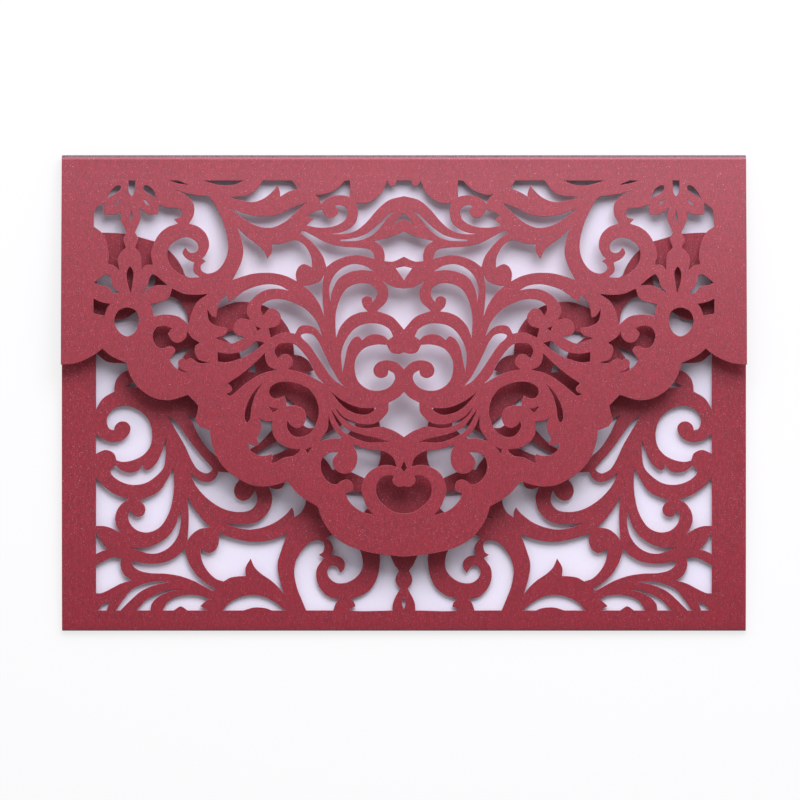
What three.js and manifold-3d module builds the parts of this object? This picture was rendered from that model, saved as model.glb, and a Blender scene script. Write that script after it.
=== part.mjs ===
import * as THREE from 'three';
import { mergeGeometries, mergeVertices } from 'three/addons/utils/BufferGeometryUtils.js';
import Module from 'manifold-3d';

// Wedding invitation: one sheet of laser-cut card, folded into a back panel, a pocket
// that folds up from the bottom and a scalloped flap that folds down from the top,
// with a plain card slipped into the pocket. It lies on its back, +Z up, +Y towards
// the top fold, with the origin under the middle of the folded sheet.
// Millimetres throughout.

// Driving sizes
const cardWidth = 184;
const cardHeight = 128;
const sheetThickness = 0.3;
const flapLength = 107.9;        // top fold to the tip of the flap
const flapSideMargin = 8.7;      // plain border at each side of the flap's pattern
const flapTopMargin = 6.9;       // plain border under the top fold
const pocketHeight = 107.3;      // bottom fold to the highest point of the pocket's edge
const pocketSideMargin = 9.2;      // plain border at each side of the pocket's pattern
const pocketBottomMargin = 5.5;  // plain border over the bottom fold
const foldFacets = 4;
const flapFacets = 4;
const pocketFacets = 2;
const pocketLift = 0.8;          // how far the pocket bulges up past its fold
const flapLift = 5.2;            // how far the flap springs up past its fold
const flapRiseLength = 100;      // length of flap over which it springs up
const pocketRiseLength = 30;
const insertThickness = 0.4;
const insertSideClearance = 1.6; // folder's edge to the card's edge
const insertFoldClearance = 0.5; // inside of the bottom fold to the card
const insertTopClearance = 1.6;  // inside of the top fold to the card
const insertRestGap = 0.05;      // back panel to the card
const pocketRoom = 0.45;         // card to the pocket, at the bottom fold
const flapRoom = 0.2;            // pocket to the flap, where the pocket bulges most
const outlineTolerance = 0.21;   // how far a straight chord may stray from its curve

// Folds, to the middle of the sheet: each bends round what lies inside it
const bottomFoldRadius = (sheetThickness + insertRestGap + insertThickness + pocketRoom) / 2;
const topFoldRadius = bottomFoldRadius + (pocketLift + sheetThickness + flapRoom) / 2;

// Outlines of the flap's openings, right half: x from the centre line, then the
// distance down from the top fold. Each inner list is one smooth stretch that ends
// at a sharp corner, and a plain list is a closed smooth curve.
const flapHoles = [
  // brow, left of the crown
  [[2.6, 15.2, 4.1, 16, 6.2, 18.1, 8.2, 19.9, 10.6, 21.5, 13.9, 22.5, 17.1, 22.8],
   [17.1, 22.8, 17, 23.2], [17, 23.2, 13.9, 23.2, 11.8, 23, 9, 21.9, 6.7, 19.9, 5, 17.7, 3.4, 16, 2.6, 15.2]],
  // long leaf
  [[7.9, 28, 8.2, 26.6, 9, 25.6, 11.9, 25, 16.4, 24.7, 20.4, 23.8, 24.5, 21.7, 26.6, 20.6, 27.4, 20.4, 27.9, 21],
   [27.9, 21, 26.6, 22, 24.9, 23.3, 23, 25.5, 21.7, 27.4, 20.8, 30.2],
   [20.8, 30.2, 18.8, 28.7, 15.6, 27.4, 12.3, 27, 9, 27.7, 7.9, 28]],
  // curl
  [[18.5, 13.7, 17.6, 13.5, 16.4, 13.7, 15.4, 14.4, 15.1, 15.4, 15.7, 17.4, 18.4, 19.1, 22.5, 19.6, 26.2, 19],
   [26.2, 19, 24.4, 17.3], [24.4, 17.3, 25.2, 16.8, 26.2, 16.6], [26.2, 16.6, 23.9, 15.2, 22.1, 14.8],
   [22.1, 14.8, 21.2, 16.2, 20.2, 16.9, 19, 16.8, 17.9, 16, 17.6, 15.1, 18, 14.3, 18.5, 13.7]],
  // hat
  [[14.6, 6.9, 15.8, 6.9], [15.8, 6.9, 17.4, 8.6, 19.6, 10, 22.5, 10.8, 23.9, 10.7], [23.9, 10.7, 22.6, 12.1, 22.3, 13.2],
   [22.3, 13.2, 20.4, 11.6, 18.2, 10.9, 16.2, 10.9, 14.6, 11.3], [14.6, 11.3, 14.4, 8.5, 14.6, 6.9]],
  // leaf with a thorn
  [[30, 6.9, 37.9, 6.9], [37.9, 6.9, 39.2, 8.9, 41.5, 10.7, 44.4, 11.2, 47.6, 11.3],
   [47.6, 11.3, 43.9, 12.2, 40.6, 12.7, 37.4, 11.6, 35, 9.5, 33.9, 8.1], [33.9, 8.1, 33.3, 10.1, 33.2, 11.2],
   [33.2, 11.2, 31, 9.9, 28.7, 9.1], [28.7, 9.1, 29.2, 8.1, 30, 6.9]],
  // crescent under the leaf
  [[26.3, 12.8, 30, 14.2, 34.1, 16.1, 38.6, 16.6, 43.1, 15.7, 46.6, 14.4],
   [46.6, 14.4, 43.7, 16.7, 39.8, 19, 35.7, 19.6, 32.1, 18.1, 29, 15.4, 26.3, 12.8]],
  // slivers along the top of the window
  [[43.1, 6.9, 53.9, 6.9], [53.9, 6.9, 51, 7.8, 48.4, 8.3, 45.5, 8, 43.1, 6.9]],
  [[57.8, 8.1, 60.7, 6.9], [60.7, 6.9, 63, 6.9], [63, 6.9, 60.5, 7.7, 57.8, 8.1]],
  // tall C scroll
  [[52.5, 11.2, 57.2, 10.6, 61.4, 9.5], [61.4, 9.5, 58.4, 11, 56.6, 13, 56.4, 15.9, 57.7, 18.5],
   [57.7, 18.5, 55.1, 19.4, 53, 21.5, 52.3, 24.4, 53.3, 27, 54.2, 27.9], [54.2, 27.9, 53.2, 28.6],
   [53.2, 28.6, 54.5, 29.8, 54.4, 31, 52.9, 31.9, 50.4, 31.3, 48.2, 28.8, 47.2, 25.5, 47.4, 22.2, 49, 17, 51.4, 12.4, 52.5, 11.2]],
  // inside of the ring
  [[58.6, 24.9, 57.9, 26, 57, 26.4, 55.6, 26, 55.2, 25, 55.5, 23.8, 56.6, 22.8, 58.2, 22.2, 60.1, 22.5, 62.9, 24.6, 63.5, 27.4, 62.3, 30.2, 60.1, 32.1, 57.6, 33, 54.9, 32.9],
   [54.9, 32.9, 56.3, 31.7, 56.6, 30.6, 56.3, 29], [56.3, 29, 58.3, 28, 59.4, 26.6, 59.2, 25.6, 58.6, 24.9]],
  // large leaf
  [[28.8, 34, 29, 31.9, 28.2, 30.1, 26.8, 29.4, 24.7, 30.3], [24.7, 30.3, 24.9, 27.6, 26.6, 24.4, 28.8, 23, 30.6, 23.2, 33.1, 24, 35.4, 24.1],
   [35.4, 24.1, 35.4, 26, 36.7, 28], [36.7, 28, 37.3, 26.4, 39, 24.4, 42.3, 22, 44.7, 19.6],
   [44.7, 19.6, 43.6, 22.8, 43.1, 26, 43.7, 29, 46, 33.7], [46, 33.7, 43.5, 32.8, 40, 31.9, 35.2, 31.8, 31.4, 32.7, 28.8, 34]],
  // side motif: slot, petals and slits
  [[72.2, 6.9, 74, 6.9], [74, 6.9, 74, 9.7, 73.1, 11.1, 72.4, 10, 72.2, 6.9]],
  [[69.9, 8.3, 69, 8.2, 67.4, 9.4, 66.4, 11.6], [66.4, 11.6, 68.6, 10.6, 69.9, 9.2, 69.9, 8.3]],
  [[76.1, 8.4, 77, 8.2, 78.4, 9.3, 79.9, 11.7], [79.9, 11.7, 77.6, 10.5, 76.2, 9.3, 76.1, 8.4]],
  [[70.1, 12, 69, 12.6, 68.2, 13.7], [68.2, 13.7, 69.2, 13.3, 70.1, 12]],
  [[76, 12, 77.1, 12.6, 78.2, 13.8], [78.2, 13.8, 77, 13.3, 76, 12]],
  [[73.1, 14.6, 73.6, 17, 73.3, 18.3], [73.3, 18.3, 72.9, 17, 73.1, 14.6]],
  // side motif: wings
  [[60.7, 18.5, 61.8, 17.3], [61.8, 17.3, 59.9, 16.7, 59.6, 15.7, 60.2, 14.6, 63.5, 14.2, 65.8, 13.4], [65.8, 13.4, 66.1, 16],
   [66.1, 16, 68.6, 16, 71.2, 14.2], [71.2, 14.2, 70.7, 16.8, 72.2, 20.9], [72.2, 20.9, 71.4, 22.4, 72.2, 24.9],
   [72.2, 24.9, 70.7, 26.9, 70.4, 31], [70.4, 31, 69.2, 29.7, 67.4, 29.6], [67.4, 29.6, 67.9, 26.4, 66, 21.7, 63.5, 19.5, 60.7, 18.5]],
  [[76.1, 15.4, 78.2, 16.1, 80.7, 16], [80.7, 16, 80.7, 13], [80.7, 13, 82.6, 14.3, 83.2, 15.4], [83.2, 15.4, 83.3, 19.3],
   [83.3, 19.3, 81.3, 20.8, 79.9, 23.4, 79.2, 27.2, 79.5, 29.5], [79.5, 29.5, 78, 29.7, 76.4, 31],
   [76.4, 31, 76.8, 28.2, 76, 26.3, 74.6, 24.9], [74.6, 24.9, 75.4, 22.8, 74.5, 20.9], [74.5, 20.9, 76, 17.5, 76.1, 15.4]],
  // crescent and paisley around the goblet
  [[8.1, 31.3, 10.2, 30, 13.5, 29.4, 16.5, 30.4, 18.8, 32.6, 20, 35.6, 19.7, 39.6],
   [19.7, 39.6, 19.4, 37, 17.6, 33.4, 14.9, 31.7, 11.4, 31, 8.1, 31.3]],
  [[8.4, 39.6, 7.3, 38, 7.4, 36.2, 9.2, 34.8, 12.3, 34.6, 15.4, 36, 17.2, 38.8, 18.3, 43, 18.2, 49.2],
   [18.2, 49.2, 17, 46.2, 14.7, 43.7, 12.2, 42.5, 9.7, 42.1], [9.7, 42.1, 11, 40.7, 11.2, 38.7, 9.9, 38, 8.7, 38.5, 8.4, 39.6]],
  // spine triangle
  [[21.4, 32.3, 22.5, 34, 24.9, 35, 26.9, 35.3], [26.9, 35.3, 24.7, 37.2, 22.5, 40.5, 21.4, 43.4], [21.4, 43.4, 21.9, 38, 21.8, 34.5, 21.4, 32.3]],
  // eyebrow with a barb
  [[2.9, 48.8, 3.9, 46.9, 6.2, 45.6, 8.6, 45.3, 11.5, 45.8, 13.7, 47.2, 15.9, 50.4, 16.8, 53.6, 16.5, 58.4],
   [16.5, 58.4, 15.9, 55.5, 15, 51.5, 13.5, 49.3, 12.2, 48.8, 11.2, 49.8], [11.2, 49.8, 9.6, 48.6, 7.5, 48.2, 5.2, 48.8, 4.2, 49.8], [4.2, 49.8, 2.9, 48.8]],
  // fan
  [[21.9, 48.7, 23.1, 45.4, 25.5, 42.3, 28.6, 40.2, 32.5, 38.9, 35.7, 39, 38.1, 40.3, 38.4, 41.6, 37.7, 43.4],
   [37.7, 43.4, 36.5, 41.7, 35, 41.3, 33.4, 42.5, 33, 44, 33.9, 45.9, 36.3, 46.7], [36.3, 46.7, 35.7, 49.2],
   [35.7, 49.2, 33.1, 48, 31, 47.8, 29.2, 48.1], [29.2, 48.1, 28, 46.2, 26.4, 45.8, 23.9, 46.5, 21.9, 48.7]],
  // drop slot
  [[16.2, 62.1, 17.6, 60.4, 20, 56.2, 21.5, 53.1, 23.1, 49.9, 24.4, 48.4, 26.3, 48, 27.6, 48.5, 27.4, 49.2, 25.5, 51, 23, 54.6, 20, 59, 18, 61.1, 16.2, 62.1]],
  // long horn
  [[30.9, 36.5, 33.1, 35.3, 36, 34.8, 39, 35.2, 42.7, 36.6, 45.5, 38.7, 47, 39.6], [47, 39.6, 47.5, 37.6],
   [47.5, 37.6, 49.4, 39.6, 50.1, 42, 50.4, 43.7, 51.4, 43.5, 52.8, 41.5], [52.8, 41.5, 52.2, 44.7, 50.1, 46.1, 47.4, 46.8, 48, 48.4, 50.7, 49.3],
   [50.7, 49.3, 48, 50.2, 46.2, 50.7, 44.3, 50, 42.5, 49], [42.5, 49, 44.7, 48.5, 45.7, 47.3, 45.4, 45.4, 43.9, 44.1, 41.3, 44.4],
   [41.3, 44.4, 42.2, 42.2, 41.7, 40.1, 39.4, 37.6, 36.8, 36.3, 34, 36, 30.9, 36.5]],
  // curved band
  [[37.4, 50.6, 39.6, 50.1, 41, 51.3, 43.5, 52.9, 46.9, 53.5, 50, 53.1], [50, 53.1, 49.9, 55.6],
   [49.9, 55.6, 47.6, 55.8, 45.1, 55.2, 42.7, 54.3, 40.2, 52.9, 37.4, 50.6]],
  [[38.4, 46.7, 39.8, 46.1], [39.8, 46.1, 39.3, 47.4], [39.3, 47.4, 38.4, 46.7]],
  // four-pointed star
  [[52.4, 37.4, 55.5, 37.7, 59, 37.4, 62.2, 36], [62.2, 36, 63.2, 38.6, 65, 39.5, 67.9, 40.2], [67.9, 40.2, 67.1, 43.4],
   [67.1, 43.4, 64.1, 42.9, 60.5, 43.5, 57.7, 45.7], [57.7, 45.7, 57, 42.7, 55.4, 39.5, 52.4, 37.4]],
  // thorned curl by the star
  [[62.1, 46.7, 64.1, 46, 66.4, 46.5, 67.4, 48.5, 67.1, 50.2, 65.9, 51.8, 64.4, 52, 62.7, 51.3, 61.4, 52.2, 61.5, 53.2, 62.9, 55],
   [62.9, 55, 61.5, 57, 60, 58.1, 57.5, 58.6], [57.5, 58.6, 59.3, 57.9, 60.4, 56.8, 60.5, 55.5, 59.4, 54.7, 58.4, 55.3],
   [58.4, 55.3, 57.2, 54.7, 54.8, 56, 52.3, 55.8], [52.3, 55.8, 55, 55.1, 56.1, 53, 55.9, 51.4, 54.7, 50.6],
   [54.7, 50.6, 57, 49.1, 58.1, 47.5], [58.1, 47.5, 58.5, 49.1, 59.9, 50.4, 61.6, 50.4, 62.9, 49, 63.3, 48], [63.3, 48, 62.1, 46.7]],
  // side motif: drop, lower wings, square and oval
  [[73.3, 37.4, 72.8, 34, 72.6, 31.7, 73.5, 30.1, 74.4, 31.6, 74.2, 34.4, 73.3, 37.4]],
  [[63.5, 35.1, 66.6, 32.5, 67.5, 32.2, 68.3, 33.3, 68.9, 35.3, 70.5, 37.1], [70.5, 37.1, 68.2, 35.8, 66.2, 35.1, 63.5, 35.1]],
  [[83.1, 34.4, 80.7, 32.5, 79.8, 32.2, 78.9, 32.7, 78.3, 35, 76.5, 37.2], [76.5, 37.2, 78, 37.1, 79.4, 35.6, 81.9, 35, 83.1, 34.4]],
  [[78.8, 40.1, 81.3, 39.6, 83.3, 38.7], [83.3, 38.7, 83.3, 42.7], [83.3, 42.7, 80.3, 43.3], [80.3, 43.3, 79.6, 41.2, 78.8, 40.1]],
  [74.2, 41.1, 71.9, 42, 71.1, 44.4, 72, 47.5, 74.1, 48.8, 76.4, 47.6, 77.7, 44.6, 76.6, 42],
  // smile and the long slots under it
  [[7.4, 68, 10.6, 68.1, 13.5, 67.5, 16.4, 66.1, 18.4, 64.7, 19.8, 63.4], [19.8, 63.4, 17.4, 66.5, 15.3, 68.4, 12.7, 69.6, 9.9, 69.8, 8, 68.7, 7.4, 68]],
  [[3.8, 77.1, 7, 76.1, 11, 75.3, 15.3, 73.6, 16.7, 72.3, 19.7, 68.2], [19.7, 68.2, 18.2, 71.6, 16.5, 74.1, 14.5, 75.4, 12.5, 76.4, 10, 77.2, 7, 77.3, 3.8, 77.1]],
  [[20.2, 69.8, 20.4, 73.5, 21.5, 75.4, 22.5, 76.9], [22.5, 76.9, 19.5, 76.2, 16.4, 76.3], [16.4, 76.3, 18.6, 73.9, 19.9, 71.2, 20.2, 69.8]],
  // hooked leaf
  [[21.5, 61.5, 23.5, 59.2, 25, 56, 27.6, 52.5, 29.5, 50.9, 31.6, 50.6, 33.6, 51, 34.7, 52.7, 33.9, 54.7],
   [33.9, 54.7, 32.5, 53.7, 31, 53.7, 29.9, 55, 30, 56.5, 31.2, 57.7], [31.2, 57.7, 26.5, 58.8, 21.5, 61.5]],
  // long diamond
  [[37.3, 53.3, 39.2, 55.2, 42.7, 58.3, 45, 60, 47.2, 61.4], [47.2, 61.4, 46.1, 62.7, 46.4, 63.7, 47.7, 64.3],
   [47.7, 64.3, 46.6, 64.8, 45, 63.7, 42.9, 61.9, 39.8, 59.7, 37.2, 58.5, 34.1, 57.8], [34.1, 57.8, 36, 57, 37, 55.5, 37.3, 53.3]],
  // round curl
  [[28, 61.6, 31, 61, 34, 61.3, 35.9, 62.7, 36, 64.4, 34.8, 65.5, 33.3, 65.3, 32.1, 64.7], [32.1, 64.7, 31.5, 66, 31.5, 67.4],
   [31.5, 67.4, 28.9, 67.4, 27, 68.3, 26.2, 70.3, 27, 72.7, 28.7, 73.4, 30.4, 72.6, 31.1, 71.4],
   [31.1, 71.4, 31.4, 73, 29.8, 75.4, 27.7, 75.8, 25.2, 74.8, 23.4, 71.9, 22.8, 69, 23.4, 66, 25.4, 63, 28, 61.6]],
  // banana slot
  [[37.9, 61.4, 40, 63.4, 41.6, 66, 42.6, 69, 42.6, 71, 42, 71.9, 41.3, 71, 40.9, 68, 40, 64.9, 38.7, 62.6, 37.9, 61.4]],
  [[33.6, 68.3, 36.4, 67.6], [36.4, 67.6, 35, 69.3], [35, 69.3, 33.6, 68.3]],
  // five-armed leaf
  [[35.3, 71.6, 37.3, 71.5, 38.9, 70.7], [38.9, 70.7, 38.2, 72.6, 38.6, 74.5, 39.4, 76.2, 38.8, 77.8, 40, 78.2, 41.8, 77.3],
   [41.8, 77.3, 41, 79.5, 38.9, 80.7, 36.7, 80.7, 35.5, 80.4, 35.1, 81.2, 35.6, 82.9], [35.6, 82.9, 34, 82.4, 32.2, 81.3, 29.7, 80.9, 28.1, 79.8, 27.8, 79.1],
   [27.8, 79.1, 31, 78.7, 33.9, 77, 35.2, 74.7, 35.3, 71.6]],
  [[24.5, 78.4, 26.4, 79.2], [26.4, 79.2, 25.9, 80.2], [25.9, 80.2, 24.5, 78.4]],
  // lens with a ball
  [[2, 83.8, 2.9, 81.4, 5.1, 79.8, 9.8, 79, 13.8, 77.8], [13.8, 77.8, 12.7, 79.8, 12.5, 82, 13.3, 84.3, 15.1, 85.6, 17.2, 85.4, 18.8, 83.9, 19.1, 82, 17.6, 79.9],
   [17.6, 79.9, 19.8, 80, 21.7, 81.2, 22.3, 83.5, 21.8, 85.9, 20, 88, 18.1, 88.5, 16.8, 87.6, 15.5, 87.2, 14.2, 87.7, 13.6, 89.2, 14, 90.3, 15.6, 90.9],
   [15.6, 90.9, 14.9, 92.7, 12.9, 94.8, 10.5, 96.1, 8, 96.7], [8, 96.7, 9.6, 95, 10.9, 92.1, 11.4, 90, 11, 88, 10, 85.9, 8.6, 84.6, 6.2, 83.5, 4, 83.3, 2, 83.8]],
];

// Openings that cross the centre line, given as their right half from top to bottom.
const flapAxisHoles = [
  // crown
  [[0, 6.9, 1.9, 6.9], [1.9, 6.9, 2.7, 8.4, 3.7, 8.3, 4.5, 6.9], [4.5, 6.9, 5.8, 10, 8, 12, 10.2, 13, 12.7, 12.9],
   [12.7, 12.9, 12.3, 15.4, 13, 18.3, 14.9, 20, 17.4, 21, 19.6, 21.3], [19.6, 21.3, 16, 21.3, 12.9, 20.4, 10.2, 18.3, 7, 14.6, 4.1, 12.2, 0, 11.1]],
  // eye
  [[0, 15.6, 1.4, 16.9, 2.7, 18.9], [2.7, 18.9, 1.4, 17.9, 0, 17.4]],
  // shield
  [[0, 20.6, 3.1, 22, 7.9, 23.2], [7.9, 23.2, 6, 24.6, 5.2, 26.6, 5.2, 28.6], [5.2, 28.6, 2.9, 28.7, 0, 27.4]],
  [[0, 30, 2.2, 30.5], [2.2, 30.5, 0, 33.7]],
  // goblet
  [[0, 36, 2.9, 35.5, 5.5, 33.9], [5.5, 33.9, 4.2, 36.5, 4.6, 39.3, 7.2, 42], [7.2, 42, 3.1, 43.6, 0, 47]],
  // pair of C scrolls
  [[0, 53.1, 1.6, 53.5, 3.4, 53.1, 4.6, 51.1], [4.6, 51.1, 7.2, 51, 10.6, 52, 12.8, 54.6, 13.2, 57.5, 12.3, 60.8, 9.8, 62.9, 6.8, 63.4, 3.9, 62.4, 2.4, 60.2, 2.7, 58.8, 4.1, 57.9],
   [4.1, 57.9, 4.5, 59.3, 6.1, 60, 7.7, 59.3, 8.2, 57.7, 7.2, 56, 4.8, 55.2, 2, 55.8, 0, 57.6]],
  // six-pointed star with its side slots
  [[0, 63.7, 1.5, 65.2, 4.1, 66.6], [4.1, 66.6, 4.3, 69, 6.5, 71.6], [6.5, 71.6, 8.2, 72.3, 11, 72.4, 14.3, 71.4, 16.4, 70.2, 18.6, 67.8],
   [18.6, 67.8, 17.4, 69.8, 14.9, 71.9, 12.5, 73.1, 10, 73.5, 7, 73.1, 5.5, 73], [5.5, 73, 2.3, 74.3, 0, 75.8]],
  [[0, 82.2, 0.8, 84.1], [0.8, 84.1, 0, 85.2]],
  // heart
  [[0, 88.9, 1.3, 89.2, 2.7, 88.4, 3.1, 87.2, 2.6, 86.3], [2.6, 86.3, 4.3, 86, 6.4, 87, 7.5, 89.5, 7, 92, 5, 94.3, 2.3, 96, 0, 96.3]],
];

// Scalloped edge of the flap, from its side edge to the tip
const flapEdge = [
  [92, 56.4, 88.5, 56.1, 85.3, 55, 82.5, 53.4, 80.9, 52.1], [80.9, 52.1, 79, 53.8, 76.7, 55, 74.4, 56],
  [74.4, 56, 73.7, 58.6, 72.1, 61.5, 69.2, 64.2, 65.8, 65.7, 62.5, 65.9, 57.9, 64.5], [57.9, 64.5, 56.4, 66, 55.1, 67.4],
  [55.1, 67.4, 55.4, 69.3, 56, 71.3], [56, 71.3, 54.8, 73], [54.8, 73, 52, 74], [52, 74, 51.6, 77.2, 50.4, 80.6, 48.7, 83.4, 46.7, 85.4],
  [46.7, 85.4, 43.7, 87.4, 40.4, 88.8, 36.3, 89, 31.2, 87.7], [31.2, 87.7, 29.8, 89.5, 28.3, 91.1, 26.2, 92.7],
  [26.2, 92.7, 23, 94.5], [23, 94.5, 22.3, 97, 21, 99.5, 18.6, 102.5, 15.5, 104.6, 12.1, 106, 6.6, 107.2, 0, 107.9],
];

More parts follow.
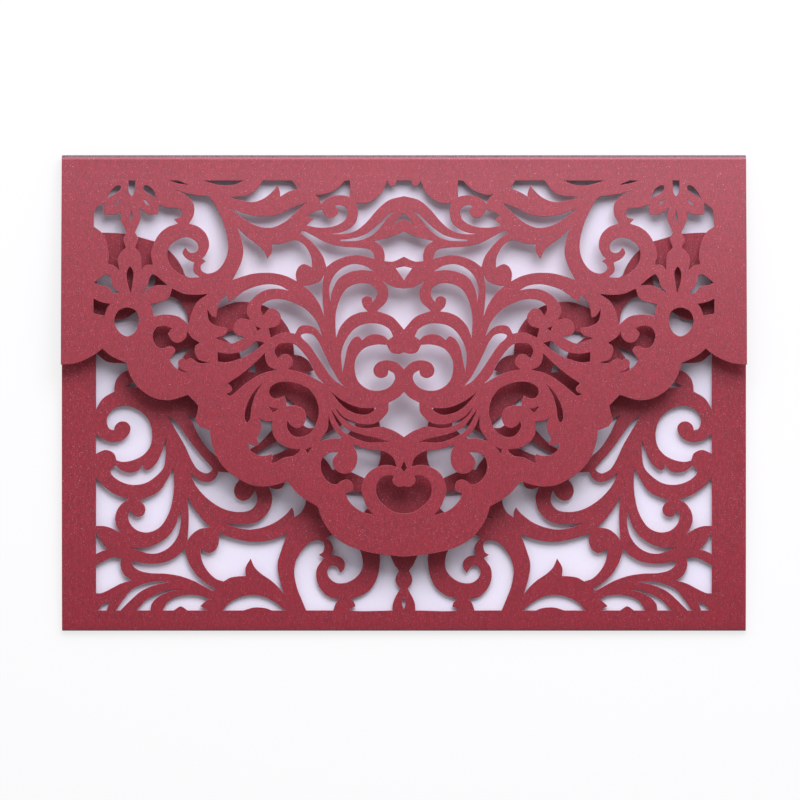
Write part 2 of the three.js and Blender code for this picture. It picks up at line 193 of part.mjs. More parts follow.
// Outlines of the pocket's openings, read in the same way on the folded card. The ones
// near the bottom edge end on a straight line, like the ones at each side.
const pocketHoles = [
  // under the flap's first cusp
  [[71.5, 57.2, 74.4, 56.2, 78.4, 56, 80.1, 55.6, 82.8, 53.4], [82.8, 53.4, 82.8, 68.5],
   [82.8, 68.5, 81.5, 66.2, 80.4, 65.1, 77.9, 63.7], [77.9, 63.7, 77.8, 61.9, 77.2, 60.2, 75.8, 58.7, 74, 57.9, 71.5, 57.2]],
  [[75, 62.3, 71, 60.4, 67, 60], [67, 60, 70.5, 62.5, 75, 62.3]],
  // C scroll around a ball
  [[78, 74.1, 79.2, 73.7, 79.9, 72, 79.7, 70.4, 78.2, 68.5, 75.9, 67.6, 73.4, 67.8, 70.9, 69, 68.7, 71.3, 67.7, 75, 68.2, 78.3, 70, 80.7, 73, 82.2, 75.8, 82.6, 77.3, 82.2],
   [77.3, 82.2, 78, 80.3, 80.2, 79.4, 82.8, 80.4], [82.8, 80.4, 82.8, 75.2],
   [82.8, 75.2, 80.3, 76.8, 77.9, 77.3, 75.4, 76.6, 73.8, 74.8, 73.6, 73.1, 74.7, 71.9, 76.3, 71.8, 77.6, 72.8, 78, 74.1]],
  // leaf with two lobes under the scroll
  [[64.1, 76.7, 64, 79.6, 64.6, 84, 66.6, 86.4, 69.5, 88.3, 72.8, 88.8, 76, 88, 78.3, 86.4, 79, 85.1, 78.5, 84.2, 77.5, 83.6],
   [77.5, 83.6, 75.8, 85, 73.4, 85.5, 71.3, 84.8, 70.3, 83.3], [70.3, 83.3, 69.9, 84.5, 68.9, 84.8, 66.7, 83.1, 65.2, 80.2, 64.1, 76.7]],
  // gore at the side of the window
  [[82.8, 86.9, 80.9, 89, 78.3, 91, 76.6, 91.8, 74, 92.6], [74, 92.6, 76, 94, 77.4, 96.3, 77.6, 98.8, 76.2, 101.9],
   [76.2, 101.9, 78.3, 100.6, 80.5, 99.9, 82.8, 99.8], [82.8, 99.8, 82.8, 86.9]],
  // tall drop with a curl
  [[62, 84.2, 61.8, 88, 62.2, 92.6, 63.4, 96.8, 65.8, 100.3, 69, 101.6, 72, 100.9, 73.9, 98.7, 74.1, 96.9, 73.4, 95.6],
   [73.4, 95.6, 72.6, 97, 71.3, 97.4, 70, 96.8, 69.5, 95.4, 69.9, 94.2, 71.1, 92.8],
   [71.1, 92.8, 68.5, 92, 65.6, 90.3, 63.6, 87.3, 62, 84.2]],
  [[58.3, 91.8, 56.6, 94.9, 54, 98.3, 52.1, 100.2], [52.1, 100.2, 55, 100.7, 57, 102.1, 58.2, 103.7],
   [58.2, 103.7, 57.9, 99.3, 57.9, 96, 58.3, 91.8]],
  [[60.2, 95.5, 60, 99, 60.9, 102.7, 62.8, 105.3, 65.4, 106.9, 68.4, 107.3, 73.4, 105.6],
   [73.4, 105.6, 70.5, 105.8, 68, 105.3, 65.6, 104.2, 63, 102.2, 61, 98.8, 60.2, 95.5]],
  // leaf blades beside the flap
  [[63.6, 70.1, 61.3, 71.8, 59.1, 74.8, 55.4, 79.9, 52.2, 83.5, 51.5, 84.5, 52.1, 85.3, 53.3, 85.7, 55.4, 84.7, 57, 82.4, 59.1, 77.9, 61.5, 73.8, 63.6, 70.1]],
  [[58.3, 70.1, 57.3, 71.2, 55.4, 75.2, 52.8, 79, 49.7, 81.8], [49.7, 81.8, 49.6, 78.5, 51, 74.5, 54.5, 71.5, 58.3, 70.1]],
  // wide hole around a ball
  [[46.6, 85.5, 49.9, 85.3], [49.9, 85.3, 50.7, 87, 52.4, 88, 54.6, 87.7, 57.6, 85.4],
   [57.6, 85.4, 56.2, 88.6, 53.6, 91.8, 50.2, 94.4, 47.2, 95.7, 44, 96.1, 41.2, 95.5, 39.6, 93.6, 39.6, 91.6, 40.1, 90.3],
   [40.1, 90.3, 41.2, 92.1, 43, 93.1, 44.8, 92.5, 45.7, 90.7, 45.3, 88.8, 44.3, 87.6], [44.3, 87.6, 45, 86.4, 46.6, 85.5]],
  // great crescent
  [[30.5, 86.5, 31.8, 87.6, 32.6, 89.4, 34.3, 90, 36.3, 89.4], [36.3, 89.4, 35.4, 92.1, 36, 95.2, 38.1, 97.9, 41, 99.2, 44.5, 99.4, 48, 99.1],
   [48, 99.1, 45, 100.3, 41.4, 100.8, 37.9, 100.2, 34.7, 98.9, 31.6, 96.6, 30.1, 94.8], [30.1, 94.8, 29.6, 96, 29.5, 97.5],
   [29.5, 97.5, 27.7, 96.2, 26.5, 93.7, 26.6, 90.5, 28, 88, 30.5, 86.5]],
  [[24.2, 97.7, 21.5, 96.6, 18.5, 96], [18.5, 96, 21, 97.4, 24.2, 97.7]],
  // beside the baluster, down to the bottom of the window
  [[5, 104.6, 3.6, 108, 2.4, 110.5, 1.3, 111.9], [1.3, 111.9, 2.2, 113.7, 2.1, 115.2, 1, 116.7], [1, 116.7, 2.4, 119.2, 3, 121, 3.1, 122.6],
   [3.1, 122.6, 13.9, 122.6, 14.7, 122.1], [14.7, 122.1, 13, 121.5], [13, 121.5, 13.4, 120.4, 14.3, 119.5],
   [14.3, 119.5, 11.4, 118.6, 8.8, 116.7, 7.1, 113.5, 6.4, 109, 6.5, 106.4, 5, 104.6]],
  // spiral
  [[20.9, 103.1, 18, 101.9, 14.5, 103.4, 12.1, 106, 11.1, 109, 11.3, 111.5, 12.9, 113.7, 15.5, 115.1, 18.4, 115.1, 20.2, 113.6, 20.6, 111.9, 19.6, 110.6, 18.2, 110.7, 17, 112.5],
   [17, 112.5, 16, 111.2, 16, 109.4, 17.3, 108.1, 19.4, 107.6], [19.4, 107.6, 19, 105.8, 19.7, 104.1, 20.9, 103.1]],
  // outer band of the spiral
  [[21.3, 105.3, 21.7, 104.2, 23.1, 103.7, 25.3, 104.3, 27.5, 106.5, 29, 109.2, 29.5, 112.3, 28.8, 116.3, 27.4, 120, 26.3, 122.6], [26.3, 122.6, 19, 122.6],
   [19, 122.6, 18.3, 120.6, 17.4, 119.5], [17.4, 119.5, 20, 119, 22.3, 117, 23.5, 114.3, 23.4, 111.3, 21.5, 108.5], [21.5, 108.5, 22.9, 107.6],
   [22.9, 107.6, 21.8, 106.9, 21.3, 105.3]],
  // thorn in a wide opening
  [[31.4, 101.9, 34.3, 103.2, 37.9, 104, 42, 104, 46.1, 103.1, 49.8, 101.9], [49.8, 101.9, 49.8, 104.4, 50.6, 106.2, 52.3, 107.1, 54.7, 106.1],
   [54.7, 106.1, 54.4, 108.9, 53, 111.7, 50.7, 114, 48.5, 114.8], [48.5, 114.8, 46.8, 113.8, 44.5, 113.4, 42.5, 113.3],
   [42.5, 113.3, 42.6, 111.1, 41.2, 108.6], [41.2, 108.6, 40.2, 110.9, 38.3, 112.8, 35.9, 114.4, 33.8, 116.3, 32.2, 118.3],
   [32.2, 118.3, 33.6, 113.6, 34, 110, 33.2, 107, 31.4, 101.9]],
  [[31.8, 122.6, 34.3, 120.7, 37.3, 119, 40.8, 118.4, 44.3, 119.1, 47.1, 120.7, 48.8, 122.6], [48.8, 122.6, 43.2, 122.6], [43.2, 122.6, 40.4, 121.8, 37.1, 122, 35.6, 122.6],
   [35.6, 122.6, 31.8, 122.6]],
  // curved horn
  [[50.9, 116.7, 53.4, 115.1, 55.8, 113, 57.6, 110.3, 58.6, 107.5, 59, 106], [59, 106, 61.1, 108, 64, 109.5, 67.4, 110, 70.5, 109.8, 73.2, 109.2],
   [73.2, 109.2, 72.9, 110.5, 71.3, 111.8, 68.5, 112.5, 64, 112.7, 60.3, 113.3, 56.6, 114.6, 53.4, 116.3, 51.2, 117.4], [51.2, 117.4, 50.9, 116.7]],
  // shell along the bottom
  [[52.6, 119.4, 55, 118.6, 58.3, 118.4, 61.3, 119, 63.6, 120.4, 64.9, 122.6], [64.9, 122.6, 61.9, 122.6], [61.9, 122.6, 60.1, 121.5, 58.2, 122.6],
   [58.2, 122.6, 52.8, 122.6], [52.8, 122.6, 54.8, 121.4], [54.8, 121.4, 52.6, 119.4]],
  [[60.1, 116.9, 63.2, 117, 66.4, 118.1, 69.3, 119.8, 72, 122.6], [72, 122.6, 68.2, 122.6], [68.2, 122.6, 67.9, 120.9, 66.2, 119, 63.2, 117.5, 60.1, 116.9]],
  [[62.8, 114.8, 66.2, 114.7, 69.9, 115.4, 73, 116.8, 75.2, 119.3, 77.6, 122.6], [77.6, 122.6, 76.3, 122.6],
   [76.3, 122.6, 73.6, 119.9, 70.7, 117.4, 67.4, 115.9, 62.8, 114.8]],
  [[79.1, 120.2, 81.3, 121.3, 82.3, 122.6], [82.3, 122.6, 80, 122.6], [80, 122.6, 79.1, 120.2]],
  [[76.1, 108.5, 78.3, 108.3, 80.9, 109.4, 82.8, 110.4], [82.8, 110.4, 82.8, 118], [82.8, 118, 81.3, 117.9, 78.7, 116.7, 76, 115.3, 73.1, 114.5],
   [73.1, 114.5, 75.2, 113, 76.2, 110.8, 76.1, 108.5]],
  [[82.8, 101.6, 81, 104.6, 79.6, 106.1], [79.6, 106.1, 81.2, 106.6, 82.8, 107.4], [82.8, 107.4, 82.8, 101.6]],
  // under the flap, as far as its openings show them
  [[13, 71.4, 14.5, 70.9, 17, 72.8, 22.3, 75.6], [22.3, 75.6, 22.2, 76.9, 17.5, 76.5, 15, 75, 13, 72.7], [13, 72.7, 13, 71.4]],
  [[6.3, 79, 10, 78, 15, 78, 20, 79, 21.9, 81.2], [21.9, 81.2, 20.6, 82.6, 19.3, 84.7], [19.3, 84.7, 16.2, 84.6, 13.9, 85.5, 10.6, 87],
   [10.6, 87, 7.4, 84.5, 6.3, 81.8, 6.3, 79]],
  [[10, 90.9, 15.8, 90.6], [15.8, 90.6, 15.6, 94, 13.5, 96, 10.9, 96.2], [10.9, 96.2, 9.7, 95.1], [9.7, 95.1, 10, 90.9]],
  [[57.9, 46, 58.6, 42.1, 59.9, 40.1, 61.3, 38.7, 63.5, 38, 67, 38.6, 69, 40.5], [69, 40.5, 68.4, 43, 66.5, 45, 62.5, 45, 57.9, 46]],
  [[70.6, 41.5, 72.5, 42.5, 75, 44.1, 78.4, 44.5], [78.4, 44.5, 77.5, 48.4, 74, 50, 71, 47.8, 70.1, 44.5, 70.6, 41.5]],
  [[57.6, 51.8, 60.2, 52.6, 63.5, 54.5], [63.5, 54.5, 62.5, 56.2, 60.8, 57.8], [60.8, 57.8, 60.2, 55.6, 59, 53.9, 57.6, 51.8]],
  [[83, 31.4, 78.6, 31.5, 76.6, 34, 76, 37.5], [76, 37.5, 79.5, 37.8, 82, 36.4, 83, 31.4]],
  [[67, 32, 69, 33, 71, 37.8], [71, 37.8, 68.5, 36.5, 67, 34.5, 67, 32]],
  [[39.4, 50, 42.5, 48, 46, 47.5, 49.5, 48.6], [49.5, 48.6, 46.8, 50.6, 44.6, 52.4, 43.7, 55], [43.7, 55, 41, 54, 39.2, 52.3, 39.4, 50]],
  [[40.4, 56, 42, 58.3], [42, 58.3, 39.6, 58.6], [39.6, 58.6, 40.4, 56]],
  [[35.2, 70.5, 39, 70.8, 41.6, 74.5, 42, 79.6], [42, 79.6, 38.9, 77.6, 35.4, 74], [35.4, 74, 34.8, 72.2, 35.2, 70.5]],
  [[31, 79, 33.8, 77, 36.5, 78.4, 40.2, 80.6], [40.2, 80.6, 38, 81.4, 34.5, 80.6, 31, 79]],
  [[32, 65, 28.5, 68, 25, 71.2, 22.8, 73.2], [22.8, 73.2, 26, 73.4, 29.5, 70, 32, 67.3], [32, 67.3, 32, 65]],
];

const pocketAxisHoles = [
  [[0, 119.2, 0.5, 120.7, 0, 122.2]],
];

// Scalloped edge of the pocket, from its side edge down to the dip in the middle
const pocketEdge = [
  [92, 20.8, 74.8, 21.3, 70.3, 22.4, 67.1, 23.3], [67.1, 23.3, 63.4, 25.6, 61.1, 28, 59.6, 30.5, 58.8, 32.5],
  [58.8, 32.5, 55.5, 34.5, 53, 37.5, 51.4, 41.9], [51.4, 41.9, 48.4, 40.7, 45.5, 39.7, 41.9, 39.6, 38.1, 40.4, 34.5, 42.5, 32, 45.3, 30.6, 47.8, 29.8, 50.8, 29.5, 53.8],
  [29.5, 53.8, 27.5, 54.2, 25.6, 55.5, 24.2, 58], [24.2, 58, 26.4, 58.6], [26.4, 58.6, 24.5, 60.8, 21.8, 62.3, 19, 63.6, 14, 66, 8.2, 67.7],
  [8.2, 67.7, 7, 70, 6.4, 73], [6.4, 73, 3.5, 76.3, 0, 78],
];

// A stretch as a smooth curve through its points, thinned to the chords it needs
function smooth(list, closed = false) {
  const points = [];
  for (let i = 0; i < list.length; i += 2) points.push(new THREE.Vector3(list[i], list[i + 1], 0));
  if (points.length < 3) return points;
  const curve = new THREE.CatmullRomCurve3(points, closed, 'centripetal');
  return thin(curve.getPoints((points.length - 1) * 12));
}

function thin(points) {
  const first = points[0], last = points[points.length - 1];
  const chord = last.clone().sub(first), length = chord.length();
  let far = 0, at = 0;
  for (let i = 1; i < points.length - 1; i++) {
    const rel = points[i].clone().sub(first);
    const off = length > 0.01 ? Math.abs(rel.x * chord.y - rel.y * chord.x) / length : rel.length();
    if (off > far) { far = off; at = i; }
  }
  if (far < outlineTolerance) return [first, last];
  return [...thin(points.slice(0, at + 1)).slice(0, -1), ...thin(points.slice(at))];
}

const chain = (stretches) => stretches.flatMap((s) => smooth(s).slice(0, -1));
const ends = (stretches) => {
  const s = stretches[stretches.length - 1];
  return new THREE.Vector3(s[s.length - 2], s[s.length - 1], 0);
};
const outline = (hole) => (typeof hole[0] === 'number' ? smooth(hole, true).slice(0, -1) : chain(hole));
const mirrored = (points) => points.map((p) => new THREE.Vector3(-p.x, p.y, 0)).reverse();

// Both halves of an opening that crosses the centre line
function acrossAxis(stretches) {
  const half = [...chain(stretches), ends(stretches)];
  return [...half, ...mirrored(half).slice(1, -1)];
}

const allOutlines = (holes, axisHoles) => [
  ...holes.flatMap((hole) => { const o = outline(hole); return [o, mirrored(o)]; }),
  ...axisHoles.map(acrossAxis),
];

// The drawn outlines taken to the card's own sizes: the patterned field stretches
// between the plain borders, and the borders keep their own widths.
function drawnSpan(lists, axis) {
  const values = lists.flat(Infinity).filter((value, i) => i % 2 === axis);
  return [Math.min(...values), Math.max(...values)];
}
const flapWindow = drawnSpan(flapHoles, 0)[1], flapSide = drawnSpan(flapEdge, 0)[1];
const flapTop = drawnSpan(flapHoles, 1)[0], flapTip = drawnSpan(flapEdge, 1)[1];
const pocketWindow = drawnSpan(pocketHoles, 0)[1], pocketSide = drawnSpan(pocketEdge, 0)[1];
const pocketTop = drawnSpan(pocketEdge, 1)[0], pocketBottom = drawnSpan(pocketHoles, 1)[1];

const between = (value, from, to, low, high) => low + (value - from) * (high - low) / (to - from);
function widthwise(x, window, side, sideMargin) {
  const out = Math.abs(x), edge = cardWidth / 2 - sideMargin;
  return Math.sign(x) * (out < window ? between(out, 0, window, 0, edge) : between(out, window, side, edge, cardWidth / 2));
}

// The flat blank, laid out along v: the pocket at negative v, then the bottom fold, the
// back panel, the top fold and the flap.
const foldReach = (radius) => radius + sheetThickness / 2;
const bottomFoldLength = Math.PI * bottomFoldRadius;
const topFoldLength = Math.PI * topFoldRadius;
const backLength = cardHeight - foldReach(bottomFoldRadius) - foldReach(topFoldRadius);
const vBottomFold = 0;
const vBack = vBottomFold + bottomFoldLength;
const vTopFold = vBack + backLength;
const vFlap = vTopFold + topFoldLength;

const flapPoint = (p) => new THREE.Vector2(
  widthwise(p.x, flapWindow, flapSide, flapSideMargin),
  vFlap - foldReach(topFoldRadius) + between(p.y, flapTop, flapTip, flapTopMargin, flapLength));
const pocketPoint = (p) => new THREE.Vector2(
  widthwise(p.x, pocketWindow, pocketSide, pocketSideMargin),
  vBottomFold + foldReach(bottomFoldRadius) - between(p.y, pocketBottom, pocketTop, pocketBottomMargin, pocketHeight));

// Points in line with their neighbours add nothing to an outline
const cornersOnly = (points) => points.filter((p, i) => {
  const a = points[(i + points.length - 1) % points.length], b = points[(i + 1) % points.length];
  return Math.abs((p.x - a.x) * (b.y - p.y) - (p.y - a.y) * (b.x - p.x)) > 1e-6;
});

function blankRim() {
  const flapHalf = [...chain(flapEdge), ends(flapEdge)].map(flapPoint);
  const pocketHalf = [...chain(pocketEdge), ends(pocketEdge)].map(pocketPoint);
  const flip = (points) => points.map((p) => new THREE.Vector2(-p.x, p.y));
  return cornersOnly([...flapHalf, ...flip(flapHalf).reverse().slice(1), ...flip(pocketHalf), ...[...pocketHalf].reverse().slice(1)]);
}
// Points right beside a bend are moved onto it, so that no sliver is left between them
const ontoBend = (p) => {
  const bend = stations.find((s) => Math.abs(s - p.y) < 0.02);
  return bend === undefined ? p : new THREE.Vector2(p.x, bend);
};
const blankOpenings = () => [
  ...allOutlines(flapHoles, flapAxisHoles).map((o) => cornersOnly(o.map(flapPoint).map(ontoBend))),
  ...allOutlines(pocketHoles, pocketAxisHoles).map((o) => cornersOnly(o.map(pocketPoint).map(ontoBend))),
];

const wasm = await Module();
wasm.setup();

function slab(points, thickness) {
  const g = new THREE.ExtrudeGeometry(new THREE.Shape(points), { depth: thickness, bevelEnabled: false, curveSegments: 1 });
  return g.translate(0, 0, -thickness / 2);
}
function toSolid(...geometries) {
  const bare = geometries.map((geometry) => {
    const g = geometry.index ? geometry.toNonIndexed() : geometry;
    g.deleteAttribute('normal');
    g.deleteAttribute('uv');
    return g;
  });
  const merged = mergeVertices(bare.length > 1 ? mergeGeometries(bare) : bare[0], 1e-5);
  return new wasm.Manifold(new wasm.Mesh({
    numProp: 3,
    vertProperties: new Float32Array(merged.attributes.position.array),
    triVerts: new Uint32Array(merged.index.array),
  }));
}

// Where the sheet bends, and where each point of the flat blank goes once folded
const pocketEnd = vBottomFold + foldReach(bottomFoldRadius) - pocketHeight;
const flapEnd = vFlap - foldReach(topFoldRadius) + flapLength;
const ease = (t) => { const c = Math.min(1, Math.max(0, t)); return c * (2 - c); };
const stations = [pocketEnd - 1];
for (let i = pocketFacets; i >= 1; i--) stations.push(vBottomFold - pocketRiseLength * i / pocketFacets);
for (let i = 0; i <= foldFacets; i++) stations.push(vBottomFold + bottomFoldLength * i / foldFacets);
for (let i = 0; i <= foldFacets; i++) stations.push(vTopFold + topFoldLength * i / foldFacets);
for (let i = 1; i <= flapFacets; i++) stations.push(vFlap + flapRiseLength * i / flapFacets);
stations.push(flapEnd + 1);

const backMiddle = sheetThickness / 2;
const yBottom = -cardHeight / 2 + foldReach(bottomFoldRadius);
const yTop = cardHeight / 2 - foldReach(topFoldRadius);

// Position of the sheet's middle and the direction that its outer face looks
function foldedAt(v) {
  if (v < vBottomFold) {
    const out = vBottomFold - v;
    return { y: yBottom + out, z: backMiddle + 2 * bottomFoldRadius + pocketLift * ease(out / pocketRiseLength), ny: 0, nz: 1 };
  }
  if (v < vBack) {
    const a = Math.PI * (v - vBottomFold) / bottomFoldLength;
    return { y: yBottom - bottomFoldRadius * Math.sin(a), z: backMiddle + bottomFoldRadius * (1 + Math.cos(a)), ny: -Math.sin(a), nz: Math.cos(a) };
  }
  if (v <= vTopFold) return { y: yBottom + (v - vBack), z: backMiddle, ny: 0, nz: -1 };
  if (v < vFlap) {
    const a = Math.PI * (v - vTopFold) / topFoldLength;
    return { y: yTop + topFoldRadius * Math.sin(a), z: backMiddle + topFoldRadius * (1 - Math.cos(a)), ny: Math.sin(a), nz: -Math.cos(a) };
  }
  const out = v - vFlap;
  return { y: yTop - out, z: backMiddle + 2 * topFoldRadius + flapLift * ease(out / flapRiseLength), ny: 0, nz: 1 };
}

// The blank is cut across at each bend, each strip is folded to its place, and the
// strips are sewn back into one sheet without the cut faces.
function foldedSheet() {
  const plate = toSolid(slab(blankRim(), sheetThickness))
    .subtract(toSolid(...blankOpenings().map((points) => slab(points, sheetThickness * 3))));
  const bends = stations.slice(1, -1);
  const near = 2e-3;
  const onBend = new Map(bends.map((s) => [s, []]));
  const triangles = [];
  for (let i = 0; i + 1 < stations.length; i++) {
    const from = stations[i], to = stations[i + 1];
    const box = new THREE.BoxGeometry(cardWidth * 2, to - from, sheetThickness * 4).translate(0, (from + to) / 2, 0);
    const mesh = plate.intersect(toSolid(box)).getMesh();
    const corner = (id) => {
      const n = id * mesh.numProp;
      let [x, v, w] = mesh.vertProperties.slice(n, n + 3);
      const bend = bends.find((s) => Math.abs(s - v) < near);
      if (bend !== undefined) {
        v = bend;
        const known = onBend.get(bend).find((k) => Math.abs(k - x) < near);
        if (known === undefined) onBend.get(bend).push(x);
        else x = known;
      }
      return { x, v, w: Math.sign(w) * sheetThickness / 2, bend };
    };
    for (let t = 0; t < mesh.triVerts.length; t += 3) {
      const [a, b, c] = [...mesh.triVerts.slice(t, t + 3)].map(corner);
      if (a.bend === undefined || a.bend !== b.bend || b.bend !== c.bend) triangles.push([a, b, c]);
    }
  }
  const positions = [];
  const place = ({ x, v, w }) => {
    const f = foldedAt(v);
    positions.push(x, f.y + f.ny * w, f.z + f.nz * w);
  };
  for (const triangle of triangles) {
    const k = [0, 1, 2].find((i) => {
      const a = triangle[i], b = triangle[(i + 1) % 3];
      return a.bend !== undefined && a.bend === b.bend && a.w === b.w;
    });
    const [a, b, c] = [0, 1, 2].map((i) => triangle[((k ?? 0) + i) % 3]);
    const between = k === undefined ? [] : onBend.get(a.bend).filter((x) => (x - a.x) * (x - b.x) < 0)
      .sort((p, q) => (p - q) * (b.x - a.x)).map((x) => ({ ...a, x }));
    const run = [a, ...between, b];
    for (let i = 0; i + 1 < run.length; i++) [run[i + 1], run[i], c].forEach(place);
  }
  const geometry = new THREE.BufferGeometry();
  geometry.setAttribute('position', new THREE.Float32BufferAttribute(positions, 3));
  geometry.computeVertexNormals();
  return geometry;
}

// Card in the pocket
const insertWidth = cardWidth - 2 * insertSideClearance;
const insertFront = yBottom - bottomFoldRadius + sheetThickness / 2 + insertFoldClearance;
const insertRear = yTop + topFoldRadius - sheetThickness / 2 - insertTopClearance;

const burgundy = new THREE.MeshStandardMaterial({ color: 0xa84258, roughness: 0.55, metalness: 0.15 });
const pearl = new THREE.MeshStandardMaterial({ color: 0xe4e0f0, roughness: 0.5, metalness: 0 });

const invitation = new THREE.Group();

const folder = new THREE.Mesh(foldedSheet(), burgundy);
folder.name = 'folder';
invitation.add(folder);

const insert = new THREE.Mesh(new THREE.BoxGeometry(insertWidth, insertRear - insertFront, insertThickness), pearl);
insert.name = 'insert_card';
insert.position.set(0, (insertFront + insertRear) / 2, sheetThickness + insertRestGap + insertThickness / 2);
invitation.add(insert);

export default invitation;
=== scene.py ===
"""Wedding invitation: one folded sheet of laser-cut pearlescent card with a pearl card in its pocket."""
import math

import bpy
import numpy as np
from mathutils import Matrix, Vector
from mathutils.geometry import delaunay_2d_cdt


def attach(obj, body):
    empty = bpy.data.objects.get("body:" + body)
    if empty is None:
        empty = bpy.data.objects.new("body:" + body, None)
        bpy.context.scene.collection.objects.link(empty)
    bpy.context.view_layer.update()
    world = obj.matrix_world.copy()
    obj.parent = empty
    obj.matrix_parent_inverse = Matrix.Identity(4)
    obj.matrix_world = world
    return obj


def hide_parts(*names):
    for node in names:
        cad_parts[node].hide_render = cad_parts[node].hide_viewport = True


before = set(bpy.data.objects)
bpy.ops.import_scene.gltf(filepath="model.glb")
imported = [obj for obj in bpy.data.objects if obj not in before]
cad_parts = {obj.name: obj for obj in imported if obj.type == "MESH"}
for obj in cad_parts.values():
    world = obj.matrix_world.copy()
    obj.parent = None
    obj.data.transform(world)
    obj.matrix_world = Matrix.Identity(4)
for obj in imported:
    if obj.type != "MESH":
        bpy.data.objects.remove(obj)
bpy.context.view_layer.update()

# Sizes of the folded sheet, in millimetres
CARD_WIDTH = 184.0
CARD_HEIGHT = 128.0
SHEET = 0.3
BOTTOM_FOLD = 0.6     # radius of the sheet's middle in the bottom fold
TOP_FOLD = 1.25
POCKET_LIFT = 0.8     # how far the pocket bulges up past its fold
FLAP_LIFT = 5.2       # how far the flap springs up past its fold
POCKET_RISE = 30.0    # length over which the pocket bulges
FLAP_RISE = 100.0
POCKET_FOOT = 128.1   # where the pocket's outlines have the bottom fold
MM = 0.001

# Fineness of the curves
CHORD = 0.025         # how far a straight chord may stray from its curve
CURVE_STEPS = 14      # points from one outline point to the next, before thinning
SHORT_CHORD = 0.01    # a stretch whose ends are nearer than this is a loop
BOTTOM_FOLD_FACETS = 16
TOP_FOLD_FACETS = 20
POCKET_FACETS = 12
FLAP_FACETS = 24
BACK_FACETS = 4
MERGE = 1e-5          # points nearer than this are one

# Softened outer edge of every cut
RIM = 0.07
LEAST_CORNER = 0.3    # a corner folded back sharper than this isn't moved inward
LEAST_MITRE = 0.5
LEAST_TURN = 1e-5     # twice the area of the smallest triangle that may be left
RIM_TRIES = 6
RIM_SHRINK = 0.3

# Stretches of each fold's arc that get a dark speckled strip, painted shade where the fold turns away from
# the light, as shares of the arc
BOTTOM_SHADED = (0.3, 0.7)
TOP_SHADED = (0.4, 0.8)

CARD_FACE, CUT_EDGE, SHADED_FOLD = range(3)   # the sheet's materials, in order


